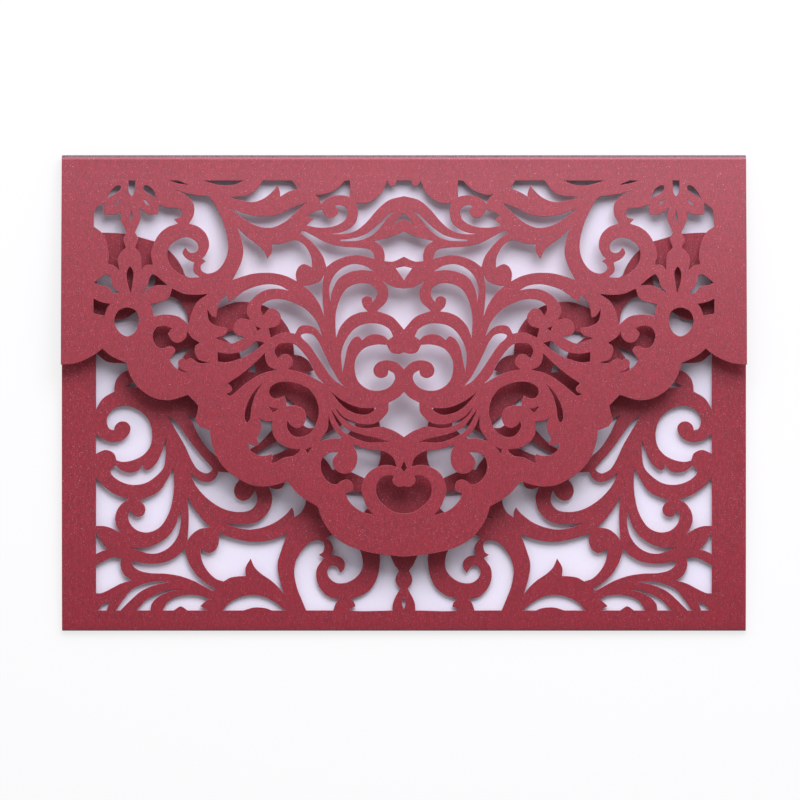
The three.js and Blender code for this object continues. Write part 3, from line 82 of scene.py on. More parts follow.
# Outlines of the flap's openings, right half: x from the centre line, then the
# distance down from the top fold. Each inner list is one smooth stretch that ends
# at a sharp corner, and a plain list is a closed smooth curve.
FLAP_HOLES = [
    # brow, left of the crown
    [[2.6, 15.2, 4.1, 16, 6.2, 18.1, 8.2, 19.9, 10.6, 21.5, 13.9, 22.5, 17.1, 22.8], [17.1, 22.8, 17, 23.2],
     [17, 23.2, 13.9, 23.2, 11.8, 23, 9, 21.9, 6.7, 19.9, 5, 17.7, 3.4, 16, 2.6, 15.2]],
    # long leaf
    [[7.9, 28, 8.2, 26.6, 9, 25.6, 11.9, 25, 16.4, 24.7, 20.4, 23.8, 24.5, 21.7, 26.6, 20.6, 27.4, 20.4,
      27.9, 21],
     [27.9, 21, 26.6, 22, 24.9, 23.3, 23, 25.5, 21.7, 27.4, 20.8, 30.2],
     [20.8, 30.2, 18.8, 28.7, 15.6, 27.4, 12.3, 27, 9, 27.7, 7.9, 28]],
    # curl
    [[18.5, 13.7, 17.6, 13.5, 16.4, 13.7, 15.4, 14.4, 15.1, 15.4, 15.7, 17.4, 18.4, 19.1, 22.5, 19.6,
      26.2, 19],
     [26.2, 19, 24.4, 17.3], [24.4, 17.3, 25.2, 16.8, 26.2, 16.6], [26.2, 16.6, 23.9, 15.2, 22.1, 14.8],
     [22.1, 14.8, 21.2, 16.2, 20.2, 16.9, 19, 16.8, 17.9, 16, 17.6, 15.1, 18, 14.3, 18.5, 13.7]],
    # hat
    [[14.6, 6.9, 15.8, 6.9], [15.8, 6.9, 17.4, 8.6, 19.6, 10, 22.5, 10.8, 23.9, 10.7],
     [23.9, 10.7, 22.6, 12.1, 22.3, 13.2], [22.3, 13.2, 20.4, 11.6, 18.2, 10.9, 16.2, 10.9, 14.6, 11.3],
     [14.6, 11.3, 14.4, 8.5, 14.6, 6.9]],
    # leaf with a thorn
    [[30, 6.9, 37.9, 6.9], [37.9, 6.9, 39.2, 8.9, 41.5, 10.7, 44.4, 11.2, 47.6, 11.3],
     [47.6, 11.3, 43.9, 12.2, 40.6, 12.7, 37.4, 11.6, 35, 9.5, 33.9, 8.1],
     [33.9, 8.1, 33.3, 10.1, 33.2, 11.2], [33.2, 11.2, 31, 9.9, 28.7, 9.1], [28.7, 9.1, 29.2, 8.1, 30, 6.9]],
    # crescent under the leaf
    [[26.3, 12.8, 30, 14.2, 34.1, 16.1, 38.6, 16.6, 43.1, 15.7, 46.6, 14.4],
     [46.6, 14.4, 43.7, 16.7, 39.8, 19, 35.7, 19.6, 32.1, 18.1, 29, 15.4, 26.3, 12.8]],
    # slivers along the top of the window
    [[43.1, 6.9, 53.9, 6.9], [53.9, 6.9, 51, 7.8, 48.4, 8.3, 45.5, 8, 43.1, 6.9]],
    [[57.8, 8.1, 60.7, 6.9], [60.7, 6.9, 63, 6.9], [63, 6.9, 60.5, 7.7, 57.8, 8.1]],
    # tall C scroll
    [[52.5, 11.2, 57.2, 10.6, 61.4, 9.5], [61.4, 9.5, 58.4, 11, 56.6, 13, 56.4, 15.9, 57.7, 18.5],
     [57.7, 18.5, 55.1, 19.4, 53, 21.5, 52.3, 24.4, 53.3, 27, 54.2, 27.9], [54.2, 27.9, 53.2, 28.6],
     [53.2, 28.6, 54.5, 29.8, 54.4, 31, 52.9, 31.9, 50.4, 31.3, 48.2, 28.8, 47.2, 25.5, 47.4, 22.2, 49, 17,
      51.4, 12.4, 52.5, 11.2]],
    # inside of the ring
    [[58.6, 24.9, 57.9, 26, 57, 26.4, 55.6, 26, 55.2, 25, 55.5, 23.8, 56.6, 22.8, 58.2, 22.2, 60.1, 22.5,
      62.9, 24.6, 63.5, 27.4, 62.3, 30.2, 60.1, 32.1, 57.6, 33, 54.9, 32.9],
     [54.9, 32.9, 56.3, 31.7, 56.6, 30.6, 56.3, 29],
     [56.3, 29, 58.3, 28, 59.4, 26.6, 59.2, 25.6, 58.6, 24.9]],
    # large leaf
    [[28.8, 34, 29, 31.9, 28.2, 30.1, 26.8, 29.4, 24.7, 30.3],
     [24.7, 30.3, 24.9, 27.6, 26.6, 24.4, 28.8, 23, 30.6, 23.2, 33.1, 24, 35.4, 24.1],
     [35.4, 24.1, 35.4, 26, 36.7, 28], [36.7, 28, 37.3, 26.4, 39, 24.4, 42.3, 22, 44.7, 19.6],
     [44.7, 19.6, 43.6, 22.8, 43.1, 26, 43.7, 29, 46, 33.7],
     [46, 33.7, 43.5, 32.8, 40, 31.9, 35.2, 31.8, 31.4, 32.7, 28.8, 34]],
    # side motif: slot, petals and slits
    [[72.2, 6.9, 74, 6.9], [74, 6.9, 74, 9.7, 73.1, 11.1, 72.4, 10, 72.2, 6.9]],
    [[69.9, 8.3, 69, 8.2, 67.4, 9.4, 66.4, 11.6], [66.4, 11.6, 68.6, 10.6, 69.9, 9.2, 69.9, 8.3]],
    [[76.1, 8.4, 77, 8.2, 78.4, 9.3, 79.9, 11.7], [79.9, 11.7, 77.6, 10.5, 76.2, 9.3, 76.1, 8.4]],
    [[70.1, 12, 69, 12.6, 68.2, 13.7], [68.2, 13.7, 69.2, 13.3, 70.1, 12]],
    [[76, 12, 77.1, 12.6, 78.2, 13.8], [78.2, 13.8, 77, 13.3, 76, 12]],
    [[73.1, 14.6, 73.6, 17, 73.3, 18.3], [73.3, 18.3, 72.9, 17, 73.1, 14.6]],
    # side motif: wings
    [[60.7, 18.5, 61.8, 17.3], [61.8, 17.3, 59.9, 16.7, 59.6, 15.7, 60.2, 14.6, 63.5, 14.2, 65.8, 13.4],
     [65.8, 13.4, 66.1, 16], [66.1, 16, 68.6, 16, 71.2, 14.2], [71.2, 14.2, 70.7, 16.8, 72.2, 20.9],
     [72.2, 20.9, 71.4, 22.4, 72.2, 24.9], [72.2, 24.9, 70.7, 26.9, 70.4, 31],
     [70.4, 31, 69.2, 29.7, 67.4, 29.6], [67.4, 29.6, 67.9, 26.4, 66, 21.7, 63.5, 19.5, 60.7, 18.5]],
    [[76.1, 15.4, 78.2, 16.1, 80.7, 16], [80.7, 16, 80.7, 13], [80.7, 13, 82.6, 14.3, 83.2, 15.4],
     [83.2, 15.4, 83.3, 19.3], [83.3, 19.3, 81.3, 20.8, 79.9, 23.4, 79.2, 27.2, 79.5, 29.5],
     [79.5, 29.5, 78, 29.7, 76.4, 31], [76.4, 31, 76.8, 28.2, 76, 26.3, 74.6, 24.9],
     [74.6, 24.9, 75.4, 22.8, 74.5, 20.9], [74.5, 20.9, 76, 17.5, 76.1, 15.4]],
    # crescent and paisley around the goblet
    [[8.1, 31.3, 10.2, 30, 13.5, 29.4, 16.5, 30.4, 18.8, 32.6, 20, 35.6, 19.7, 39.6],
     [19.7, 39.6, 19.4, 37, 17.6, 33.4, 14.9, 31.7, 11.4, 31, 8.1, 31.3]],
    [[8.4, 39.6, 7.3, 38, 7.4, 36.2, 9.2, 34.8, 12.3, 34.6, 15.4, 36, 17.2, 38.8, 18.3, 43, 18.2, 49.2],
     [18.2, 49.2, 17, 46.2, 14.7, 43.7, 12.2, 42.5, 9.7, 42.1],
     [9.7, 42.1, 11, 40.7, 11.2, 38.7, 9.9, 38, 8.7, 38.5, 8.4, 39.6]],
    # spine triangle
    [[21.4, 32.3, 22.5, 34, 24.9, 35, 26.9, 35.3], [26.9, 35.3, 24.7, 37.2, 22.5, 40.5, 21.4, 43.4],
     [21.4, 43.4, 21.9, 38, 21.8, 34.5, 21.4, 32.3]],
    # eyebrow with a barb
    [[2.9, 48.8, 3.9, 46.9, 6.2, 45.6, 8.6, 45.3, 11.5, 45.8, 13.7, 47.2, 15.9, 50.4, 16.8, 53.6,
      16.5, 58.4],
     [16.5, 58.4, 15.9, 55.5, 15, 51.5, 13.5, 49.3, 12.2, 48.8, 11.2, 49.8],
     [11.2, 49.8, 9.6, 48.6, 7.5, 48.2, 5.2, 48.8, 4.2, 49.8], [4.2, 49.8, 2.9, 48.8]],
    # fan
    [[21.9, 48.7, 23.1, 45.4, 25.5, 42.3, 28.6, 40.2, 32.5, 38.9, 35.7, 39, 38.1, 40.3, 38.4, 41.6,
      37.7, 43.4],
     [37.7, 43.4, 36.5, 41.7, 35, 41.3, 33.4, 42.5, 33, 44, 33.9, 45.9, 36.3, 46.7],
     [36.3, 46.7, 35.7, 49.2], [35.7, 49.2, 33.1, 48, 31, 47.8, 29.2, 48.1],
     [29.2, 48.1, 28, 46.2, 26.4, 45.8, 23.9, 46.5, 21.9, 48.7]],
    # drop slot
    [[16.2, 62.1, 17.6, 60.4, 20, 56.2, 21.5, 53.1, 23.1, 49.9, 24.4, 48.4, 26.3, 48, 27.6, 48.5,
      27.4, 49.2, 25.5, 51, 23, 54.6, 20, 59, 18, 61.1, 16.2, 62.1]],
    # long horn
    [[30.9, 36.5, 33.1, 35.3, 36, 34.8, 39, 35.2, 42.7, 36.6, 45.5, 38.7, 47, 39.6], [47, 39.6, 47.5, 37.6],
     [47.5, 37.6, 49.4, 39.6, 50.1, 42, 50.4, 43.7, 51.4, 43.5, 52.8, 41.5],
     [52.8, 41.5, 52.2, 44.7, 50.1, 46.1, 47.4, 46.8, 48, 48.4, 50.7, 49.3],
     [50.7, 49.3, 48, 50.2, 46.2, 50.7, 44.3, 50, 42.5, 49],
     [42.5, 49, 44.7, 48.5, 45.7, 47.3, 45.4, 45.4, 43.9, 44.1, 41.3, 44.4],
     [41.3, 44.4, 42.2, 42.2, 41.7, 40.1, 39.4, 37.6, 36.8, 36.3, 34, 36, 30.9, 36.5]],
    # curved band
    [[37.4, 50.6, 39.6, 50.1, 41, 51.3, 43.5, 52.9, 46.9, 53.5, 50, 53.1], [50, 53.1, 49.9, 55.6],
     [49.9, 55.6, 47.6, 55.8, 45.1, 55.2, 42.7, 54.3, 40.2, 52.9, 37.4, 50.6]],
    [[38.4, 46.7, 39.8, 46.1], [39.8, 46.1, 39.3, 47.4], [39.3, 47.4, 38.4, 46.7]],
    # four-pointed star
    [[52.4, 37.4, 55.5, 37.7, 59, 37.4, 62.2, 36], [62.2, 36, 63.2, 38.6, 65, 39.5, 67.9, 40.2],
     [67.9, 40.2, 67.1, 43.4], [67.1, 43.4, 64.1, 42.9, 60.5, 43.5, 57.7, 45.7],
     [57.7, 45.7, 57, 42.7, 55.4, 39.5, 52.4, 37.4]],
    # thorned curl by the star
    [[62.1, 46.7, 64.1, 46, 66.4, 46.5, 67.4, 48.5, 67.1, 50.2, 65.9, 51.8, 64.4, 52, 62.7, 51.3,
      61.4, 52.2, 61.5, 53.2, 62.9, 55],
     [62.9, 55, 61.5, 57, 60, 58.1, 57.5, 58.6],
     [57.5, 58.6, 59.3, 57.9, 60.4, 56.8, 60.5, 55.5, 59.4, 54.7, 58.4, 55.3],
     [58.4, 55.3, 57.2, 54.7, 54.8, 56, 52.3, 55.8],
     [52.3, 55.8, 55, 55.1, 56.1, 53, 55.9, 51.4, 54.7, 50.6], [54.7, 50.6, 57, 49.1, 58.1, 47.5],
     [58.1, 47.5, 58.5, 49.1, 59.9, 50.4, 61.6, 50.4, 62.9, 49, 63.3, 48], [63.3, 48, 62.1, 46.7]],
    # side motif: drop, lower wings, square and oval
    [[73.3, 37.4, 72.8, 34, 72.6, 31.7, 73.5, 30.1, 74.4, 31.6, 74.2, 34.4, 73.3, 37.4]],
    [[63.5, 35.1, 66.6, 32.5, 67.5, 32.2, 68.3, 33.3, 68.9, 35.3, 70.5, 37.1],
     [70.5, 37.1, 68.2, 35.8, 66.2, 35.1, 63.5, 35.1]],
    [[83.1, 34.4, 80.7, 32.5, 79.8, 32.2, 78.9, 32.7, 78.3, 35, 76.5, 37.2],
     [76.5, 37.2, 78, 37.1, 79.4, 35.6, 81.9, 35, 83.1, 34.4]],
    [[78.8, 40.1, 81.3, 39.6, 83.3, 38.7], [83.3, 38.7, 83.3, 42.7], [83.3, 42.7, 80.3, 43.3],
     [80.3, 43.3, 79.6, 41.2, 78.8, 40.1]],
    [74.2, 41.1, 71.9, 42, 71.1, 44.4, 72, 47.5, 74.1, 48.8, 76.4, 47.6, 77.7, 44.6, 76.6, 42],
    # smile and the long slots under it
    [[7.4, 68, 10.6, 68.1, 13.5, 67.5, 16.4, 66.1, 18.4, 64.7, 19.8, 63.4],
     [19.8, 63.4, 17.4, 66.5, 15.3, 68.4, 12.7, 69.6, 9.9, 69.8, 8, 68.7, 7.4, 68]],
    [[3.8, 77.1, 7, 76.1, 11, 75.3, 15.3, 73.6, 16.7, 72.3, 19.7, 68.2],
     [19.7, 68.2, 18.2, 71.6, 16.5, 74.1, 14.5, 75.4, 12.5, 76.4, 10, 77.2, 7, 77.3, 3.8, 77.1]],
    [[20.2, 69.8, 20.4, 73.5, 21.5, 75.4, 22.5, 76.9], [22.5, 76.9, 19.5, 76.2, 16.4, 76.3],
     [16.4, 76.3, 18.6, 73.9, 19.9, 71.2, 20.2, 69.8]],
    # hooked leaf
    [[21.5, 61.5, 23.5, 59.2, 25, 56, 27.6, 52.5, 29.5, 50.9, 31.6, 50.6, 33.6, 51, 34.7, 52.7, 33.9, 54.7],
     [33.9, 54.7, 32.5, 53.7, 31, 53.7, 29.9, 55, 30, 56.5, 31.2, 57.7],
     [31.2, 57.7, 26.5, 58.8, 21.5, 61.5]],
    # long diamond
    [[37.3, 53.3, 39.2, 55.2, 42.7, 58.3, 45, 60, 47.2, 61.4],
     [47.2, 61.4, 46.1, 62.7, 46.4, 63.7, 47.7, 64.3],
     [47.7, 64.3, 46.6, 64.8, 45, 63.7, 42.9, 61.9, 39.8, 59.7, 37.2, 58.5, 34.1, 57.8],
     [34.1, 57.8, 36, 57, 37, 55.5, 37.3, 53.3]],
    # round curl
    [[28, 61.6, 31, 61, 34, 61.3, 35.9, 62.7, 36, 64.4, 34.8, 65.5, 33.3, 65.3, 32.1, 64.7],
     [32.1, 64.7, 31.5, 66, 31.5, 67.4],
     [31.5, 67.4, 28.9, 67.4, 27, 68.3, 26.2, 70.3, 27, 72.7, 28.7, 73.4, 30.4, 72.6, 31.1, 71.4],
     [31.1, 71.4, 31.4, 73, 29.8, 75.4, 27.7, 75.8, 25.2, 74.8, 23.4, 71.9, 22.8, 69, 23.4, 66, 25.4, 63,
      28, 61.6]],
    # banana slot
    [[37.9, 61.4, 40, 63.4, 41.6, 66, 42.6, 69, 42.6, 71, 42, 71.9, 41.3, 71, 40.9, 68, 40, 64.9,
      38.7, 62.6, 37.9, 61.4]],
    [[33.6, 68.3, 36.4, 67.6], [36.4, 67.6, 35, 69.3], [35, 69.3, 33.6, 68.3]],
    # five-armed leaf
    [[35.3, 71.6, 37.3, 71.5, 38.9, 70.7],
     [38.9, 70.7, 38.2, 72.6, 38.6, 74.5, 39.4, 76.2, 38.8, 77.8, 40, 78.2, 41.8, 77.3],
     [41.8, 77.3, 41, 79.5, 38.9, 80.7, 36.7, 80.7, 35.5, 80.4, 35.1, 81.2, 35.6, 82.9],
     [35.6, 82.9, 34, 82.4, 32.2, 81.3, 29.7, 80.9, 28.1, 79.8, 27.8, 79.1],
     [27.8, 79.1, 31, 78.7, 33.9, 77, 35.2, 74.7, 35.3, 71.6]],
    [[24.5, 78.4, 26.4, 79.2], [26.4, 79.2, 25.9, 80.2], [25.9, 80.2, 24.5, 78.4]],
    # lens with a ball
    [[2, 83.8, 2.9, 81.4, 5.1, 79.8, 9.8, 79, 13.8, 77.8],
     [13.8, 77.8, 12.7, 79.8, 12.5, 82, 13.3, 84.3, 15.1, 85.6, 17.2, 85.4, 18.8, 83.9, 19.1, 82,
      17.6, 79.9],
     [17.6, 79.9, 19.8, 80, 21.7, 81.2, 22.3, 83.5, 21.8, 85.9, 20, 88, 18.1, 88.5, 16.8, 87.6, 15.5, 87.2,
      14.2, 87.7, 13.6, 89.2, 14, 90.3, 15.6, 90.9],
     [15.6, 90.9, 14.9, 92.7, 12.9, 94.8, 10.5, 96.1, 8, 96.7],
     [8, 96.7, 9.6, 95, 10.9, 92.1, 11.4, 90, 11, 88, 10, 85.9, 8.6, 84.6, 6.2, 83.5, 4, 83.3, 2, 83.8]],
]

# Openings that cross the centre line, given as their right half from top to bottom.
FLAP_AXIS_HOLES = [
    # crown
    [[0, 6.9, 1.9, 6.9], [1.9, 6.9, 2.7, 8.4, 3.7, 8.3, 4.5, 6.9],
     [4.5, 6.9, 5.8, 10, 8, 12, 10.2, 13, 12.7, 12.9],
     [12.7, 12.9, 12.3, 15.4, 13, 18.3, 14.9, 20, 17.4, 21, 19.6, 21.3],
     [19.6, 21.3, 16, 21.3, 12.9, 20.4, 10.2, 18.3, 7, 14.6, 4.1, 12.2, 0, 11.1]],
    # eye
    [[0, 15.6, 1.4, 16.9, 2.7, 18.9], [2.7, 18.9, 1.4, 17.9, 0, 17.4]],
    # shield
    [[0, 20.6, 3.1, 22, 7.9, 23.2], [7.9, 23.2, 6, 24.6, 5.2, 26.6, 5.2, 28.6],
     [5.2, 28.6, 2.9, 28.7, 0, 27.4]],
    [[0, 30, 2.2, 30.5], [2.2, 30.5, 0, 33.7]],
    # goblet
    [[0, 36, 2.9, 35.5, 5.5, 33.9], [5.5, 33.9, 4.2, 36.5, 4.6, 39.3, 7.2, 42], [7.2, 42, 3.1, 43.6, 0, 47]],
    # pair of C scrolls
    [[0, 53.1, 1.6, 53.5, 3.4, 53.1, 4.6, 51.1],
     [4.6, 51.1, 7.2, 51, 10.6, 52, 12.8, 54.6, 13.2, 57.5, 12.3, 60.8, 9.8, 62.9, 6.8, 63.4, 3.9, 62.4,
      2.4, 60.2, 2.7, 58.8, 4.1, 57.9],
     [4.1, 57.9, 4.5, 59.3, 6.1, 60, 7.7, 59.3, 8.2, 57.7, 7.2, 56, 4.8, 55.2, 2, 55.8, 0, 57.6]],
    # six-pointed star with its side slots
    [[0, 63.7, 1.5, 65.2, 4.1, 66.6], [4.1, 66.6, 4.3, 69, 6.5, 71.6],
     [6.5, 71.6, 8.2, 72.3, 11, 72.4, 14.3, 71.4, 16.4, 70.2, 18.6, 67.8],
     [18.6, 67.8, 17.4, 69.8, 14.9, 71.9, 12.5, 73.1, 10, 73.5, 7, 73.1, 5.5, 73],
     [5.5, 73, 2.3, 74.3, 0, 75.8]],
    [[0, 82.2, 0.8, 84.1], [0.8, 84.1, 0, 85.2]],
    # heart
    [[0, 88.9, 1.3, 89.2, 2.7, 88.4, 3.1, 87.2, 2.6, 86.3],
     [2.6, 86.3, 4.3, 86, 6.4, 87, 7.5, 89.5, 7, 92, 5, 94.3, 2.3, 96, 0, 96.3]],
]

# Scalloped edge of the flap, from its side edge to the tip
FLAP_EDGE = [
    [92, 56.4, 88.5, 56.1, 85.3, 55, 82.5, 53.4, 80.9, 52.1], [80.9, 52.1, 79, 53.8, 76.7, 55, 74.4, 56],
    [74.4, 56, 73.7, 58.6, 72.1, 61.5, 69.2, 64.2, 65.8, 65.7, 62.5, 65.9, 57.9, 64.5],
    [57.9, 64.5, 56.4, 66, 55.1, 67.4],
    [55.1, 67.4, 55.4, 69.3, 56, 71.3], [56, 71.3, 54.8, 73], [54.8, 73, 52, 74],
    [52, 74, 51.6, 77.2, 50.4, 80.6, 48.7, 83.4, 46.7, 85.4],
    [46.7, 85.4, 43.7, 87.4, 40.4, 88.8, 36.3, 89, 31.2, 87.7],
    [31.2, 87.7, 29.8, 89.5, 28.3, 91.1, 26.2, 92.7],
    [26.2, 92.7, 23, 94.5],
    [23, 94.5, 22.3, 97, 21, 99.5, 18.6, 102.5, 15.5, 104.6, 12.1, 106, 6.6, 107.2, 0, 107.9],
]

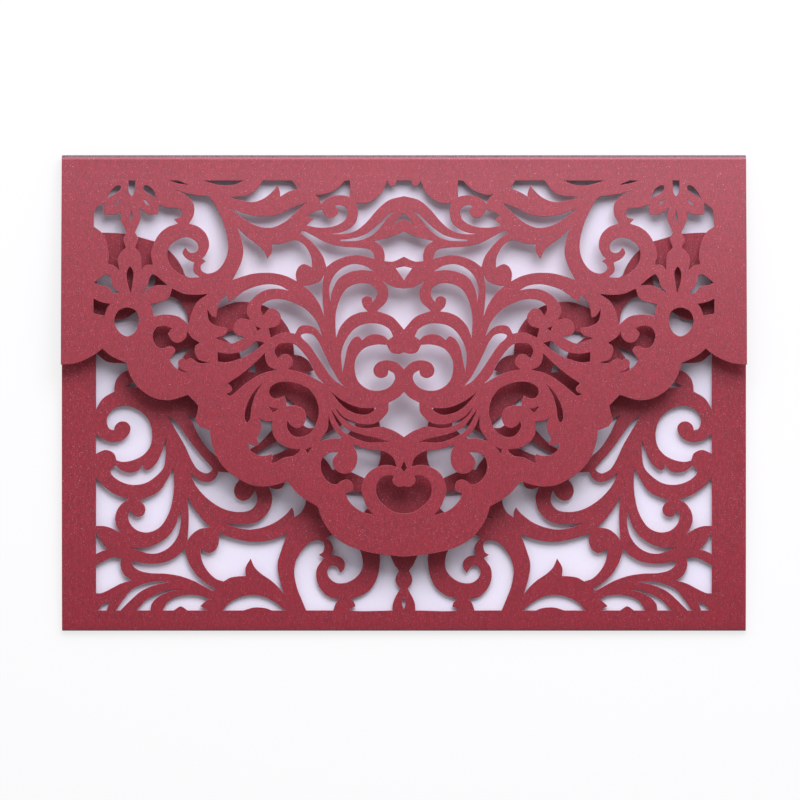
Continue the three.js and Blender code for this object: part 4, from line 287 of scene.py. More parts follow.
# Outlines of the pocket's openings, read in the same way on the folded card. The ones
# near the bottom edge end on a straight line, like the ones at each side.
POCKET_HOLES = [
    # under the flap's first cusp
    [[71.5, 57.2, 74.4, 56.2, 78.4, 56, 80.1, 55.6, 82.8, 53.4], [82.8, 53.4, 82.8, 68.5],
     [82.8, 68.5, 81.5, 66.2, 80.4, 65.1, 77.9, 63.7],
     [77.9, 63.7, 77.8, 61.9, 77.2, 60.2, 75.8, 58.7, 74, 57.9, 71.5, 57.2]],
    [[75, 62.3, 71, 60.4, 67, 60], [67, 60, 70.5, 62.5, 75, 62.3]],
    # C scroll around a ball
    [[78, 74.1, 79.2, 73.7, 79.9, 72, 79.7, 70.4, 78.2, 68.5, 75.9, 67.6, 73.4, 67.8, 70.9, 69, 68.7, 71.3,
      67.7, 75, 68.2, 78.3, 70, 80.7, 73, 82.2, 75.8, 82.6, 77.3, 82.2],
     [77.3, 82.2, 78, 80.3, 80.2, 79.4, 82.8, 80.4], [82.8, 80.4, 82.8, 75.2],
     [82.8, 75.2, 80.3, 76.8, 77.9, 77.3, 75.4, 76.6, 73.8, 74.8, 73.6, 73.1, 74.7, 71.9, 76.3, 71.8,
      77.6, 72.8, 78, 74.1]],
    # leaf with two lobes under the scroll
    [[64.1, 76.7, 64, 79.6, 64.6, 84, 66.6, 86.4, 69.5, 88.3, 72.8, 88.8, 76, 88, 78.3, 86.4, 79, 85.1,
      78.5, 84.2, 77.5, 83.6],
     [77.5, 83.6, 75.8, 85, 73.4, 85.5, 71.3, 84.8, 70.3, 83.3],
     [70.3, 83.3, 69.9, 84.5, 68.9, 84.8, 66.7, 83.1, 65.2, 80.2, 64.1, 76.7]],
    # gore at the side of the window
    [[82.8, 86.9, 80.9, 89, 78.3, 91, 76.6, 91.8, 74, 92.6],
     [74, 92.6, 76, 94, 77.4, 96.3, 77.6, 98.8, 76.2, 101.9],
     [76.2, 101.9, 78.3, 100.6, 80.5, 99.9, 82.8, 99.8], [82.8, 99.8, 82.8, 86.9]],
    # tall drop with a curl
    [[62, 84.2, 61.8, 88, 62.2, 92.6, 63.4, 96.8, 65.8, 100.3, 69, 101.6, 72, 100.9, 73.9, 98.7, 74.1, 96.9,
      73.4, 95.6],
     [73.4, 95.6, 72.6, 97, 71.3, 97.4, 70, 96.8, 69.5, 95.4, 69.9, 94.2, 71.1, 92.8],
     [71.1, 92.8, 68.5, 92, 65.6, 90.3, 63.6, 87.3, 62, 84.2]],
    [[58.3, 91.8, 56.6, 94.9, 54, 98.3, 52.1, 100.2], [52.1, 100.2, 55, 100.7, 57, 102.1, 58.2, 103.7],
     [58.2, 103.7, 57.9, 99.3, 57.9, 96, 58.3, 91.8]],
    [[60.2, 95.5, 60, 99, 60.9, 102.7, 62.8, 105.3, 65.4, 106.9, 68.4, 107.3, 73.4, 105.6],
     [73.4, 105.6, 70.5, 105.8, 68, 105.3, 65.6, 104.2, 63, 102.2, 61, 98.8, 60.2, 95.5]],
    # leaf blades beside the flap
    [[63.6, 70.1, 61.3, 71.8, 59.1, 74.8, 55.4, 79.9, 52.2, 83.5, 51.5, 84.5, 52.1, 85.3, 53.3, 85.7,
      55.4, 84.7, 57, 82.4, 59.1, 77.9, 61.5, 73.8, 63.6, 70.1]],
    [[58.3, 70.1, 57.3, 71.2, 55.4, 75.2, 52.8, 79, 49.7, 81.8],
     [49.7, 81.8, 49.6, 78.5, 51, 74.5, 54.5, 71.5, 58.3, 70.1]],
    # wide hole around a ball
    [[46.6, 85.5, 49.9, 85.3], [49.9, 85.3, 50.7, 87, 52.4, 88, 54.6, 87.7, 57.6, 85.4],
     [57.6, 85.4, 56.2, 88.6, 53.6, 91.8, 50.2, 94.4, 47.2, 95.7, 44, 96.1, 41.2, 95.5, 39.6, 93.6,
      39.6, 91.6, 40.1, 90.3],
     [40.1, 90.3, 41.2, 92.1, 43, 93.1, 44.8, 92.5, 45.7, 90.7, 45.3, 88.8, 44.3, 87.6],
     [44.3, 87.6, 45, 86.4, 46.6, 85.5]],
    # great crescent
    [[30.5, 86.5, 31.8, 87.6, 32.6, 89.4, 34.3, 90, 36.3, 89.4],
     [36.3, 89.4, 35.4, 92.1, 36, 95.2, 38.1, 97.9, 41, 99.2, 44.5, 99.4, 48, 99.1],
     [48, 99.1, 45, 100.3, 41.4, 100.8, 37.9, 100.2, 34.7, 98.9, 31.6, 96.6, 30.1, 94.8],
     [30.1, 94.8, 29.6, 96, 29.5, 97.5],
     [29.5, 97.5, 27.7, 96.2, 26.5, 93.7, 26.6, 90.5, 28, 88, 30.5, 86.5]],
    [[24.2, 97.7, 21.5, 96.6, 18.5, 96], [18.5, 96, 21, 97.4, 24.2, 97.7]],
    # beside the baluster, down to the bottom of the window
    [[5, 104.6, 3.6, 108, 2.4, 110.5, 1.3, 111.9], [1.3, 111.9, 2.2, 113.7, 2.1, 115.2, 1, 116.7],
     [1, 116.7, 2.4, 119.2, 3, 121, 3.1, 122.6], [3.1, 122.6, 13.9, 122.6, 14.7, 122.1],
     [14.7, 122.1, 13, 121.5], [13, 121.5, 13.4, 120.4, 14.3, 119.5],
     [14.3, 119.5, 11.4, 118.6, 8.8, 116.7, 7.1, 113.5, 6.4, 109, 6.5, 106.4, 5, 104.6]],
    # spiral
    [[20.9, 103.1, 18, 101.9, 14.5, 103.4, 12.1, 106, 11.1, 109, 11.3, 111.5, 12.9, 113.7, 15.5, 115.1,
      18.4, 115.1, 20.2, 113.6, 20.6, 111.9, 19.6, 110.6, 18.2, 110.7, 17, 112.5],
     [17, 112.5, 16, 111.2, 16, 109.4, 17.3, 108.1, 19.4, 107.6],
     [19.4, 107.6, 19, 105.8, 19.7, 104.1, 20.9, 103.1]],
    # outer band of the spiral
    [[21.3, 105.3, 21.7, 104.2, 23.1, 103.7, 25.3, 104.3, 27.5, 106.5, 29, 109.2, 29.5, 112.3, 28.8, 116.3,
      27.4, 120, 26.3, 122.6],
     [26.3, 122.6, 19, 122.6], [19, 122.6, 18.3, 120.6, 17.4, 119.5],
     [17.4, 119.5, 20, 119, 22.3, 117, 23.5, 114.3, 23.4, 111.3, 21.5, 108.5], [21.5, 108.5, 22.9, 107.6],
     [22.9, 107.6, 21.8, 106.9, 21.3, 105.3]],
    # thorn in a wide opening
    [[31.4, 101.9, 34.3, 103.2, 37.9, 104, 42, 104, 46.1, 103.1, 49.8, 101.9],
     [49.8, 101.9, 49.8, 104.4, 50.6, 106.2, 52.3, 107.1, 54.7, 106.1],
     [54.7, 106.1, 54.4, 108.9, 53, 111.7, 50.7, 114, 48.5, 114.8],
     [48.5, 114.8, 46.8, 113.8, 44.5, 113.4, 42.5, 113.3], [42.5, 113.3, 42.6, 111.1, 41.2, 108.6],
     [41.2, 108.6, 40.2, 110.9, 38.3, 112.8, 35.9, 114.4, 33.8, 116.3, 32.2, 118.3],
     [32.2, 118.3, 33.6, 113.6, 34, 110, 33.2, 107, 31.4, 101.9]],
    [[31.8, 122.6, 34.3, 120.7, 37.3, 119, 40.8, 118.4, 44.3, 119.1, 47.1, 120.7, 48.8, 122.6],
     [48.8, 122.6, 43.2, 122.6], [43.2, 122.6, 40.4, 121.8, 37.1, 122, 35.6, 122.6],
     [35.6, 122.6, 31.8, 122.6]],
    # curved horn
    [[50.9, 116.7, 53.4, 115.1, 55.8, 113, 57.6, 110.3, 58.6, 107.5, 59, 106],
     [59, 106, 61.1, 108, 64, 109.5, 67.4, 110, 70.5, 109.8, 73.2, 109.2],
     [73.2, 109.2, 72.9, 110.5, 71.3, 111.8, 68.5, 112.5, 64, 112.7, 60.3, 113.3, 56.6, 114.6, 53.4, 116.3,
      51.2, 117.4],
     [51.2, 117.4, 50.9, 116.7]],
    # shell along the bottom
    [[52.6, 119.4, 55, 118.6, 58.3, 118.4, 61.3, 119, 63.6, 120.4, 64.9, 122.6], [64.9, 122.6, 61.9, 122.6],
     [61.9, 122.6, 60.1, 121.5, 58.2, 122.6], [58.2, 122.6, 52.8, 122.6], [52.8, 122.6, 54.8, 121.4],
     [54.8, 121.4, 52.6, 119.4]],
    [[60.1, 116.9, 63.2, 117, 66.4, 118.1, 69.3, 119.8, 72, 122.6], [72, 122.6, 68.2, 122.6],
     [68.2, 122.6, 67.9, 120.9, 66.2, 119, 63.2, 117.5, 60.1, 116.9]],
    [[62.8, 114.8, 66.2, 114.7, 69.9, 115.4, 73, 116.8, 75.2, 119.3, 77.6, 122.6],
     [77.6, 122.6, 76.3, 122.6], [76.3, 122.6, 73.6, 119.9, 70.7, 117.4, 67.4, 115.9, 62.8, 114.8]],
    [[79.1, 120.2, 81.3, 121.3, 82.3, 122.6], [82.3, 122.6, 80, 122.6], [80, 122.6, 79.1, 120.2]],
    [[76.1, 108.5, 78.3, 108.3, 80.9, 109.4, 82.8, 110.4], [82.8, 110.4, 82.8, 118],
     [82.8, 118, 81.3, 117.9, 78.7, 116.7, 76, 115.3, 73.1, 114.5],
     [73.1, 114.5, 75.2, 113, 76.2, 110.8, 76.1, 108.5]],
    [[82.8, 101.6, 81, 104.6, 79.6, 106.1], [79.6, 106.1, 81.2, 106.6, 82.8, 107.4],
     [82.8, 107.4, 82.8, 101.6]],
    # under the flap, as far as its openings show them
    [[13, 71.4, 14.5, 70.9, 17, 72.8, 22.3, 75.6], [22.3, 75.6, 22.2, 76.9, 17.5, 76.5, 15, 75, 13, 72.7],
     [13, 72.7, 13, 71.4]],
    [[6.3, 79, 10, 78, 15, 78, 20, 79, 21.9, 81.2], [21.9, 81.2, 20.6, 82.6, 19.3, 84.7],
     [19.3, 84.7, 16.2, 84.6, 13.9, 85.5, 10.6, 87], [10.6, 87, 7.4, 84.5, 6.3, 81.8, 6.3, 79]],
    [[10, 90.9, 15.8, 90.6], [15.8, 90.6, 15.6, 94, 13.5, 96, 10.9, 96.2], [10.9, 96.2, 9.7, 95.1],
     [9.7, 95.1, 10, 90.9]],
    [[57.9, 46, 58.6, 42.1, 59.9, 40.1, 61.3, 38.7, 63.5, 38, 67, 38.6, 69, 40.5],
     [69, 40.5, 68.4, 43, 66.5, 45, 62.5, 45, 57.9, 46]],
    [[70.6, 41.5, 72.5, 42.5, 75, 44.1, 78.4, 44.5],
     [78.4, 44.5, 77.5, 48.4, 74, 50, 71, 47.8, 70.1, 44.5, 70.6, 41.5]],
    [[57.6, 51.8, 60.2, 52.6, 63.5, 54.5], [63.5, 54.5, 62.5, 56.2, 60.8, 57.8],
     [60.8, 57.8, 60.2, 55.6, 59, 53.9, 57.6, 51.8]],
    [[83, 31.4, 78.6, 31.5, 76.6, 34, 76, 37.5], [76, 37.5, 79.5, 37.8, 82, 36.4, 83, 31.4]],
    [[67, 32, 69, 33, 71, 37.8], [71, 37.8, 68.5, 36.5, 67, 34.5, 67, 32]],
    [[39.4, 50, 42.5, 48, 46, 47.5, 49.5, 48.6], [49.5, 48.6, 46.8, 50.6, 44.6, 52.4, 43.7, 55],
     [43.7, 55, 41, 54, 39.2, 52.3, 39.4, 50]],
    [[40.4, 56, 42, 58.3], [42, 58.3, 39.6, 58.6], [39.6, 58.6, 40.4, 56]],
    [[35.2, 70.5, 39, 70.8, 41.6, 74.5, 42, 79.6], [42, 79.6, 38.9, 77.6, 35.4, 74],
     [35.4, 74, 34.8, 72.2, 35.2, 70.5]],
    [[31, 79, 33.8, 77, 36.5, 78.4, 40.2, 80.6], [40.2, 80.6, 38, 81.4, 34.5, 80.6, 31, 79]],
    [[32, 65, 28.5, 68, 25, 71.2, 22.8, 73.2], [22.8, 73.2, 26, 73.4, 29.5, 70, 32, 67.3],
     [32, 67.3, 32, 65]],
]

POCKET_AXIS_HOLES = [
    [[0, 119.2, 0.5, 120.7, 0, 122.2]],
]

# Scalloped edge of the pocket, from its side edge down to the dip in the middle
POCKET_EDGE = [
    [92, 20.8, 74.8, 21.3, 70.3, 22.4, 67.1, 23.3],
    [67.1, 23.3, 63.4, 25.6, 61.1, 28, 59.6, 30.5, 58.8, 32.5],
    [58.8, 32.5, 55.5, 34.5, 53, 37.5, 51.4, 41.9],
    [51.4, 41.9, 48.4, 40.7, 45.5, 39.7, 41.9, 39.6, 38.1, 40.4, 34.5, 42.5, 32, 45.3, 30.6, 47.8,
     29.8, 50.8, 29.5, 53.8],
    [29.5, 53.8, 27.5, 54.2, 25.6, 55.5, 24.2, 58], [24.2, 58, 26.4, 58.6],
    [26.4, 58.6, 24.5, 60.8, 21.8, 62.3, 19, 63.6, 14, 66, 8.2, 67.7],
    [8.2, 67.7, 7, 70, 6.4, 73], [6.4, 73, 3.5, 76.3, 0, 78],
]


def catmull(points, closed):
    """Centripetal curve through the points."""
    n = len(points)
    made = []
    for i in range(n if closed else n - 1):
        p1, p2 = points[i], points[(i + 1) % n]
        p0 = points[i - 1] if closed or i > 0 else 2 * p1 - p2
        p3 = points[(i + 2) % n] if closed or i + 2 < n else 2 * p2 - p1
        pairs = ((p0, p1), (p1, p2), (p2, p3))
        d0, d1, d2 = (max(np.linalg.norm(b - a), 1e-8) ** 0.5 for a, b in pairs)
        t1 = ((p1 - p0) / d0 - (p2 - p0) / (d0 + d1) + (p2 - p1) / d1) * d1
        t2 = ((p2 - p1) / d1 - (p3 - p1) / (d1 + d2) + (p3 - p2) / d2) * d1
        square, cube = -3 * p1 + 3 * p2 - 2 * t1 - t2, 2 * p1 - 2 * p2 + t1 + t2
        for k in range(CURVE_STEPS):
            u = k / CURVE_STEPS
            made.append(p1 + t1 * u + square * u * u + cube * u ** 3)
    made.append(points[0] if closed else points[-1])
    return made


def thin(points):
    """The fewest of the points that keep the curve's shape."""
    first, last = points[0], points[-1]
    if len(points) < 3:
        return [first, last]
    chord = last - first
    length = np.linalg.norm(chord)
    rel = np.array(points[1:-1]) - first
    if length > SHORT_CHORD:
        off = np.abs(rel[:, 0] * chord[1] - rel[:, 1] * chord[0]) / length
    else:
        off = np.linalg.norm(rel, axis=1)
    at = int(off.argmax()) + 1
    if off[at - 1] < CHORD:
        return [first, last]
    return thin(points[:at + 1])[:-1] + thin(points[at:])


def smooth(flat, closed=False):
    """One stretch of an outline; a stretch of two points is straight."""
    points = [np.array(flat[i:i + 2], float) for i in range(0, len(flat), 2)]
    return points if len(points) < 3 else thin(catmull(points, closed))


def chain(stretches):
    return [p for s in stretches for p in smooth(s)[:-1]]


def mirrored(points):
    return [np.array([-p[0], p[1]]) for p in reversed(points)]


def half_line(stretches):
    return chain(stretches) + [np.array(stretches[-1][-2:], float)]


def openings(holes, axis_holes):
    """Every opening of a leaf: each side hole with its mirror image, then those on the centre line."""
    made = []
    for hole in holes:
        outline = chain(hole) if isinstance(hole[0], list) else smooth(hole, True)[:-1]
        made += [outline, mirrored(outline)]
    for stretches in axis_holes:
        half = half_line(stretches)
        made.append(half + mirrored(half)[1:-1])
    return made


# The flat blank: x across, v along it from the pocket over both folds to the flap
BOTTOM_REACH = BOTTOM_FOLD + SHEET / 2
TOP_REACH = TOP_FOLD + SHEET / 2
V_BACK = math.pi * BOTTOM_FOLD
V_TOP = V_BACK + CARD_HEIGHT - BOTTOM_REACH - TOP_REACH
V_FLAP = V_TOP + math.pi * TOP_FOLD
Y_BOTTOM = -CARD_HEIGHT / 2 + BOTTOM_REACH
Y_TOP = CARD_HEIGHT / 2 - TOP_REACH


def on_flap(points):
    return np.array([(p[0], V_FLAP - TOP_REACH + p[1]) for p in points])


def on_pocket(points):
    return np.array([(p[0], BOTTOM_REACH - (POCKET_FOOT - p[1])) for p in points])


def sprung(out, lift, rise):
    """Height and slope of a leaf at each distance out from its fold."""
    share = np.clip(out / rise, 0, 1)
    return lift * share * (2 - share), 2 * lift * (1 - share) / rise


def folded(v):
    """Place along y, height and outward direction of the sheet's middle at each v."""
    y, z, ny, nz = (np.zeros_like(v) for _ in range(4))
    middle = SHEET / 2

    m = v < 0
    height, slope = sprung(-v[m], POCKET_LIFT, POCKET_RISE)
    y[m], z[m] = Y_BOTTOM - v[m], middle + 2 * BOTTOM_FOLD + height
    ny[m], nz[m] = -slope, 1

    m = (v >= 0) & (v < V_BACK)
    a = v[m] / BOTTOM_FOLD
    y[m], z[m] = Y_BOTTOM - BOTTOM_FOLD * np.sin(a), middle + BOTTOM_FOLD * (1 + np.cos(a))
    ny[m], nz[m] = -np.sin(a), np.cos(a)

    m = (v >= V_BACK) & (v <= V_TOP)
    y[m], z[m], nz[m] = Y_BOTTOM + v[m] - V_BACK, middle, -1

    m = (v > V_TOP) & (v < V_FLAP)
    a = (v[m] - V_TOP) / TOP_FOLD
    y[m], z[m] = Y_TOP + TOP_FOLD * np.sin(a), middle + TOP_FOLD * (1 - np.cos(a))
    ny[m], nz[m] = np.sin(a), -np.cos(a)

    m = v >= V_FLAP
    height, slope = sprung(v[m] - V_FLAP, FLAP_LIFT, FLAP_RISE)
    y[m], z[m] = Y_TOP - (v[m] - V_FLAP), middle + 2 * TOP_FOLD + height
    ny[m], nz[m] = slope, 1

    size = np.hypot(ny, nz)
    return y, z, ny / size, nz / size


def inside(points, polygon):
    """Which points lie inside the polygon."""
    hit = np.zeros(len(points), bool)
    low, high = polygon.min(0), polygon.max(0)
    near = np.flatnonzero(np.all((points > low) & (points < high), axis=1))
    if not len(near):
        return hit
    p = points[near]
    odd = np.zeros(len(near), bool)
    for (ax, ay), (bx, by) in zip(polygon, np.roll(polygon, -1, axis=0)):
        if ay != by:
            cross = (ay > p[:, 1]) != (by > p[:, 1])
            odd ^= cross & (p[:, 0] < ax + (p[:, 1] - ay) * (bx - ax) / (by - ay))
    hit[near[odd]] = True
    return hit


def turn(points, triangles):
    """Twice the signed area of each triangle."""
    a, b, c = (points[triangles[:, i]] for i in range(3))
    return (b[:, 0] - a[:, 0]) * (c[:, 1] - a[:, 1]) - (b[:, 1] - a[:, 1]) * (c[:, 0] - a[:, 0])


def bend_lines():
    """Each v where the sheet has a line across it, so that it can bend there."""
    bends = [V_BACK * i / BOTTOM_FOLD_FACETS for i in range(BOTTOM_FOLD_FACETS + 1)]
    bends += [V_TOP + (V_FLAP - V_TOP) * i / TOP_FOLD_FACETS for i in range(TOP_FOLD_FACETS + 1)]
    bends += [-POCKET_RISE * i / POCKET_FACETS for i in range(1, POCKET_FACETS + 1)]
    bends += [V_FLAP + FLAP_RISE * i / FLAP_FACETS for i in range(1, FLAP_FACETS + 1)]
    bends += [V_BACK + (V_TOP - V_BACK) * i / BACK_FACETS for i in range(1, BACK_FACETS)]
    return bends


def blank():
    """The flat blank as triangles, with lines across it where it bends."""
    flap_half, pocket_half = on_flap(half_line(FLAP_EDGE)), on_pocket(half_line(POCKET_EDGE))
    flip = np.array([-1.0, 1.0])
    flap_other, pocket_other = (flap_half * flip)[::-1][1:], pocket_half * flip
    edge = np.concatenate([flap_half, flap_other, pocket_other, pocket_half[::-1][1:]])
    holes = [on_flap(outline) for outline in openings(FLAP_HOLES, FLAP_AXIS_HOLES)]
    holes += [on_pocket(outline) for outline in openings(POCKET_HOLES, POCKET_AXIS_HOLES)]
    points, edges = [], []
    for ring in [edge] + holes:
        start = len(points)
        points += ring.tolist()
        edges += [(start + i, start + (i + 1) % len(ring)) for i in range(len(ring))]
    for v in bend_lines():
        edges.append((len(points), len(points) + 1))
        points += [[-CARD_WIDTH, v], [CARD_WIDTH, v]]
    made = delaunay_2d_cdt([Vector(p) for p in points], edges, [], 0, MERGE)
    flat = np.array([tuple(p) for p in made[0]])
    triangles = np.array([f for f in made[2] if len(f) == 3])
    centre = flat[triangles].mean(axis=1)
    keep = inside(centre, edge)
    for ring in holes:
        keep &= ~inside(centre, ring)
    used, where = np.unique(triangles[keep], return_inverse=True)
    flat, triangles = flat[used], where.reshape(-1, 3)
    over = turn(flat, triangles) < 0
    triangles[over] = triangles[over][:, ::-1]
    return flat, triangles


def drawn_in(flat, triangles, border):
    """How far each border point of the outer face moves inward, and which points lie on the border."""
    inward = np.zeros_like(flat)
    facing = {}
    for a, b in border:
        d = flat[b] - flat[a]
        n = np.array([-d[1], d[0]]) / max(np.linalg.norm(d), 1e-9)
        facing.setdefault(a, []).append(n)
        facing.setdefault(b, []).append(n)
    for i, normals in facing.items():
        total = sum(normals)
        size = np.linalg.norm(total)
        if size > LEAST_CORNER:
            inward[i] = total / size / max(size / len(normals), LEAST_MITRE)
    inward *= RIM
    for _ in range(RIM_TRIES):
        over = turn(flat + inward, triangles) < LEAST_TURN
        if not over.any():
            break
        inward[triangles[over].ravel()] *= RIM_SHRINK
    return inward, sorted(facing)


def face_kinds(flat, triangles, count):
    """Material of each face: both faces of the sheet first, then its cut edges."""
    kinds = np.full(count, CARD_FACE, np.int32)
    kinds[2 * len(triangles):] = CUT_EDGE
    middle = flat[triangles].mean(axis=1)[:, 1]
    # The middle of each fold's arc gets the dark fold strip: painted shade where the sheet turns away from
    # the light
    fold_shade = np.zeros(len(triangles), bool)
    for start, end, (low, high) in ((0, V_BACK, BOTTOM_SHADED), (V_TOP, V_FLAP, TOP_SHADED)):
        fold_shade |= (middle > start + low * (end - start)) & (middle < start + high * (end - start))
    kinds[:len(triangles)][fold_shade] = SHADED_FOLD
    return kinds


def sharp_edges(mesh, border, count):
    """Which of the mesh's edges run along the border of its outer or its inner face."""
    ends = np.zeros(len(mesh.edges) * 2, np.int32)
    mesh.edges.foreach_get("vertices", ends)
    ends = np.sort(ends.reshape(-1, 2), axis=1).astype(np.int64)
    pairs = np.sort(np.array(border), axis=1)
    wide = 2 * count + len(border)
    names = pairs[:, 0] * wide + pairs[:, 1]
    outer = np.isin(ends[:, 0] * wide + ends[:, 1], names)
    below = ends - count
    inner = np.isin(below[:, 0] * wide + below[:, 1], names) & (below[:, 0] >= 0) & (ends[:, 1] < 2 * count)
    return outer | inner


def folded_sheet():
    """The blank given its thickness and folded: outer face, inner face, and cut edges with a softened rim."""
    flat, triangles = blank()
    half_edges = {(int(t[i]), int(t[(i + 1) % 3])) for t in triangles for i in range(3)}
    border = sorted(e for e in half_edges if (e[1], e[0]) not in half_edges)
    inward, on_border = drawn_in(flat, triangles, border)

    def placed(points, lift):
        y, z, ny, nz = folded(points[:, 1])
        return np.stack([points[:, 0], y + ny * lift, z + nz * lift], axis=1)

    outer, inner = placed(flat + inward, SHEET / 2), placed(flat, -SHEET / 2)
    ring = placed(flat[on_border], SHEET / 2 - RIM)
    count = len(flat)
    ring_of = {v: 2 * count + i for i, v in enumerate(on_border)}
    faces = [tuple(t[::-1]) for t in triangles.tolist()]
    faces += [tuple(i + count for i in t) for t in triangles.tolist()]
    for a, b in border:
        faces.append((a, b, ring_of[b], ring_of[a]))
        faces.append((ring_of[a], ring_of[b], b + count, a + count))

    mesh = bpy.data.meshes.new("folder_sheet")
    mesh.from_pydata((np.concatenate([outer, inner, ring]) * MM).tolist(), [], faces)
    kinds = face_kinds(flat, triangles, len(faces))
    mesh.polygons.foreach_set("material_index", kinds)
    mesh.polygons.foreach_set("use_smooth", kinds != CUT_EDGE)
    mesh.update()
    sharp = mesh.attributes.new("sharp_edge", "BOOLEAN", "EDGE")
    sharp.data.foreach_set("value", sharp_edges(mesh, border, count))
    return mesh


# Sizes of the materials' grains in metres along x, y and z, with their levels of detail
CARD_FIBRE = (0.00020, 0.0014, 0.0003), 2
CARD_FINE = (0.00013, 0.00022, 0.0002), 2
CARD_CLOUD = (0.012, 0.016, 0.012), 2
# Pale mica specks: real flakes in the coating, painted brighter as their glint
CARD_MICA_GLINT = (0.00022, 0.00022, 0.00022), 1
# Speckle of the dark fold strip, which paints the folds' shade
FOLD_SHADE_SPECKLE = (0.00018, 0.00012, 0.00012), 2
EDGE_SCORCH = (0.0003, 0.0003, 0.00008), 2
PEARL_FIBRE = (0.0003, 0.0012, 0.0004), 3
PEARL_CLOUD = (0.02, 0.02, 0.02), 2

CARD_BUMP = {"Strength": 1.0, "Distance": 0.00004}
PEARL_BUMP = {"Strength": 0.2, "Distance": 0.00002}

# Smooth clear coat over the dyed card
CARD_GLOSS = {
    "Metallic": 0.08,
    "Specular IOR Level": 0.4,
    "Specular Tint": (0.9, 0.85, 1.0, 1),
    "Coat Weight": 0.8,
    "Coat IOR": 1.7,
    "Coat Roughness": 0.48,
    "Sheen Weight": 0.05,
    "Sheen Roughness": 0.4,
    "Sheen Tint": (1.0, 0.75, 0.85, 1),
}


def node(tree, kind, **values):
    made = tree.nodes.new(kind)
    for key, value in values.items():
        if key in made.inputs:
            made.inputs[key].default_value = value
        else:
            setattr(made, key, value)
    return made


def new_material(name):
    """A material with its node tree and its shader."""
    material = bpy.data.materials.new(name)
    material.use_nodes = True
    return material, material.node_tree, material.node_tree.nodes["Principled BSDF"]


def set_inputs(shader, values):
    for name, value in values.items():
        shader.inputs[name].default_value = value


def srgb(r, g, b):
    def linear(c):
        c /= 255
        return c / 12.92 if c <= 0.04045 else ((c + 0.055) / 1.055) ** 2.4
    return (linear(r), linear(g), linear(b), 1)


def grey(level):
    return (level, level, level, 1)


def grain(tree, kind):
    """Noise with grains of the given size."""
    size, detail = kind
    where = node(tree, "ShaderNodeTexCoord")
    scaled = node(tree, "ShaderNodeMapping", Scale=tuple(1 / s for s in size))
    noise = node(tree, "ShaderNodeTexNoise", Scale=1.0, Detail=detail, Roughness=0.6)
    tree.links.new(where.outputs["Object"], scaled.inputs["Vector"])
    tree.links.new(scaled.outputs["Vector"], noise.inputs["Vector"])
    return noise.outputs["Fac"]


def ramp(tree, source, first, last, *between):
    """Colour by the source's value; each stop is a value and its colour."""
    made = node(tree, "ShaderNodeValToRGB")
    for element, stop in zip(made.color_ramp.elements, (first, last)):
        element.position, element.color = stop
    for at, colour in between:
        made.color_ramp.elements.new(at).color = colour
    tree.links.new(source, made.inputs["Fac"])
    return made.outputs["Color"]


def mixed(tree, blend, factor, first, second):
    made = node(tree, "ShaderNodeMix", data_type="RGBA", blend_type=blend)
    for socket, value in ((made.inputs[0], factor), (made.inputs[6], first), (made.inputs[7], second)):
        if isinstance(value, bpy.types.NodeSocket):
            tree.links.new(value, socket)
        else:
            socket.default_value = value
    return made.outputs[2]


def bumped(tree, shader, height, values):
    bump = node(tree, "ShaderNodeBump", **values)
    tree.links.new(height, bump.inputs["Height"])
    tree.links.new(bump.outputs["Normal"], shader.inputs["Normal"])


def burgundy_card():
    """Pearlescent card: fine fibre grain down the card, soft clouding, and pale mica specks, whose glint is
    painted into the base colour.
    """
    material, tree, shader = new_material("burgundy_pearl_card")
    fibre, fine = grain(tree, CARD_FIBRE), grain(tree, CARD_FINE)
    cloud, mica_glint = grain(tree, CARD_CLOUD), grain(tree, CARD_MICA_GLINT)
    base = ramp(tree, fibre, (0.34, srgb(124, 4, 28)), (0.66, srgb(164, 12, 42)))
    mottle = ramp(tree, fine, (0.3, grey(0.60)), (0.7, grey(1.36)))
    base = mixed(tree, "MULTIPLY", 1.0, base, mottle)
    clouding = ramp(tree, cloud, (0.3, grey(0.97)), (0.7, grey(1.03)))
    base = mixed(tree, "MULTIPLY", 1.0, base, clouding)
    # Pale pink specks over the base: mica flakes, with their glint painted in
    glint_flake = ramp(tree, mica_glint, (0.67, grey(0)), (0.76, grey(1)))
    base = mixed(tree, "MIX", glint_flake, base, srgb(215, 150, 165))
    tree.links.new(base, shader.inputs["Base Color"])
    rough = ramp(tree, fine, (0.3, grey(0.48)), (0.7, grey(0.64)))
    tree.links.new(rough, shader.inputs["Roughness"])
    set_inputs(shader, CARD_GLOSS)
    bumped(tree, shader, mixed(tree, "ADD", 0.5, fibre, fine), CARD_BUMP)
    return material


def dull(name, texture, first, last, values):
    """A plain dull material whose colour varies with its grain."""
    material, tree, shader = new_material(name)
    tree.links.new(ramp(tree, grain(tree, texture), first, last), shader.inputs["Base Color"])
    set_inputs(shader, values)
    return material


def shaded_fold():
    """The outside of a fold as a dull, dark speckled line: painted shade where the fold curves away from the
    light.
    """
    # Dark greys that paint the fold's shade, speckled by the grain
    dark, pale = (0.42, srgb(60, 40, 46)), (0.60, srgb(150, 130, 138))
    return dull("burgundy_worn_fold", FOLD_SHADE_SPECKLE, dark, pale, {"Roughness": 0.9, "Specular IOR Level": 0.2})


def cut_edge():
    """The cut through the sheet, where the paler core and light scorching show."""
    dark, pale = (0.3, srgb(150, 62, 74)), (0.7, srgb(182, 92, 104))
    return dull("burgundy_cut_edge", EDGE_SCORCH, dark, pale, {"Roughness": 0.75})


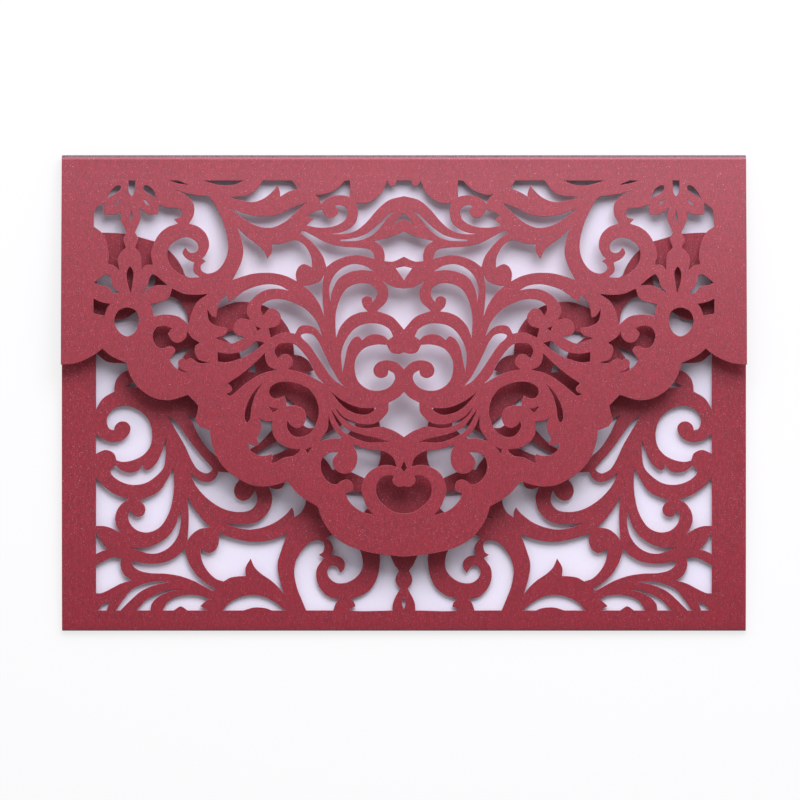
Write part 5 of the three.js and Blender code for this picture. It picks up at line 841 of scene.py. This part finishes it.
def pearl_card():
    """Smooth pearl card, cool white with a faint lilac cast."""
    material, tree, shader = new_material("lilac_pearl_card")
    fibre, cloud = grain(tree, PEARL_FIBRE), grain(tree, PEARL_CLOUD)
    base = ramp(tree, fibre, (0.3, srgb(239, 238, 251)), (0.7, srgb(243, 242, 255)))
    clouding = ramp(tree, cloud, (0.3, (0.98, 0.98, 1, 1)), (0.7, (1, 0.99, 0.98, 1)))
    tree.links.new(mixed(tree, "MULTIPLY", 1.0, base, clouding), shader.inputs["Base Color"])
    rough = ramp(tree, fibre, (0.3, grey(0.4)), (0.7, grey(0.5)))
    tree.links.new(rough, shader.inputs["Roughness"])
    bumped(tree, shader, fibre, PEARL_BUMP)
    return material


sheet = bpy.data.objects.new("folder_sheet", folded_sheet())
bpy.context.scene.collection.objects.link(sheet)
for made in (burgundy_card(), cut_edge(), shaded_fold()):
    sheet.data.materials.append(made)
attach(sheet, "root")
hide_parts("folder")

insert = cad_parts["insert_card"]
insert.data.materials.clear()
insert.data.materials.append(pearl_card())

# Sizes and places of the floor, lamp and camera, in metres
FLOOR_SIZE = 8
FLOOR_DROP = 0.0002         # the floor lies just under the object
FLOOR_WHITE = 0.92
FLOOR_GLOW = 0.75           # share of plain white in what the camera sees of the floor
KEY_PLACE = (0.09, 0.40, 0.42)
KEY_AIM = (0, 0.02, 0)
KEY_SIZE = (0.46, 0.33)
KEY_WATTS = 2.8
KEY_COLOUR = (0.95, 0.93, 1.0)
SENSOR_WIDTH = 36
CAMERA_DISTANCE = 1.5       # from the middle of the object's height
CAMERA_ASIDE = (-0.00105, -0.00188)
MIDDLE_HEIGHT = 0.004
VIEW_WIDTH = 0.2149         # width of the picture at the object
FAR_CLIP = 20

# Light of the room: by height from the horizon up, times by side from the near to the far
BY_HEIGHT = (
    (0.05, (0.30, 0.29, 0.29, 1)),
    (1.0, grey(0.05)),
    (0.42, (1.0, 0.95, 0.95, 1)),
    (0.6, (0.85, 0.82, 0.82, 1)),
    (0.85, (0.25, 0.24, 0.25, 1)),
)
BY_SIDE = (0.0, (0.66, 0.66, 0.67, 1)), (0.85, (2.45, 2.38, 2.55, 1))


def white_floor():
    """White that takes the object's soft shadow and is close to plain white for the camera."""
    material, tree, shader = new_material("floor_white")
    set_inputs(shader, {"Base Color": grey(FLOOR_WHITE), "Roughness": 1, "Specular IOR Level": 0})
    ray = node(tree, "ShaderNodeLightPath")
    glow = node(tree, "ShaderNodeEmission", Color=grey(1))
    tree.links.new(ray.outputs["Is Camera Ray"], glow.inputs["Strength"])
    both = node(tree, "ShaderNodeMixShader", Fac=FLOOR_GLOW)
    tree.links.new(shader.outputs[0], both.inputs[1])
    tree.links.new(glow.outputs[0], both.inputs[2])
    camera_only = node(tree, "ShaderNodeMixShader")
    tree.links.new(ray.outputs["Is Camera Ray"], camera_only.inputs[0])
    tree.links.new(shader.outputs[0], camera_only.inputs[1])
    tree.links.new(both.outputs[0], camera_only.inputs[2])
    tree.links.new(camera_only.outputs[0], tree.nodes["Material Output"].inputs["Surface"])
    return material


def room():
    """Soft light from all round, brightest beyond the top fold and white behind the object."""
    world = bpy.data.worlds.new("room")
    world.use_nodes = True
    tree = world.node_tree
    toward = node(tree, "ShaderNodeTexCoord")
    parts = node(tree, "ShaderNodeSeparateXYZ")
    tree.links.new(toward.outputs["Generated"], parts.inputs[0])
    dome, side = ramp(tree, parts.outputs["Z"], *BY_HEIGHT), ramp(tree, parts.outputs["Y"], *BY_SIDE)
    ray = node(tree, "ShaderNodeLightPath")
    light = mixed(tree, "MULTIPLY", 1.0, dome, side)
    seen = mixed(tree, "MIX", ray.outputs["Is Camera Ray"], light, grey(1))
    tree.links.new(seen, tree.nodes["Background"].inputs["Color"])
    return world


def key_lamp():
    data = bpy.data.lights.new("key", "AREA")
    data.shape = "RECTANGLE"
    data.size, data.size_y = KEY_SIZE
    data.energy = KEY_WATTS
    data.color = KEY_COLOUR
    lamp = bpy.data.objects.new("key", data)
    lamp.location = KEY_PLACE
    lamp.rotation_euler = (Vector(KEY_AIM) - Vector(KEY_PLACE)).to_track_quat("-Z", "Y").to_euler()
    return lamp


def camera_above():
    """Camera that looks straight down, with the top fold at the top of the picture."""
    data = bpy.data.cameras.new("camera")
    data.sensor_width = SENSOR_WIDTH
    data.lens = SENSOR_WIDTH * CAMERA_DISTANCE / VIEW_WIDTH
    data.clip_end = FAR_CLIP
    camera = bpy.data.objects.new("camera", data)
    camera.location = (*CAMERA_ASIDE, CAMERA_DISTANCE + MIDDLE_HEIGHT)
    return camera


bpy.ops.mesh.primitive_plane_add(size=FLOOR_SIZE, location=(0, 0, -FLOOR_DROP))
floor = bpy.context.object
floor.name = "floor"
floor.data.materials.append(white_floor())

lamp, camera = key_lamp(), camera_above()
scene = bpy.context.scene
scene.collection.objects.link(lamp)
scene.collection.objects.link(camera)
scene.camera = camera
scene.world = room()
scene.view_settings.view_transform = "Standard"
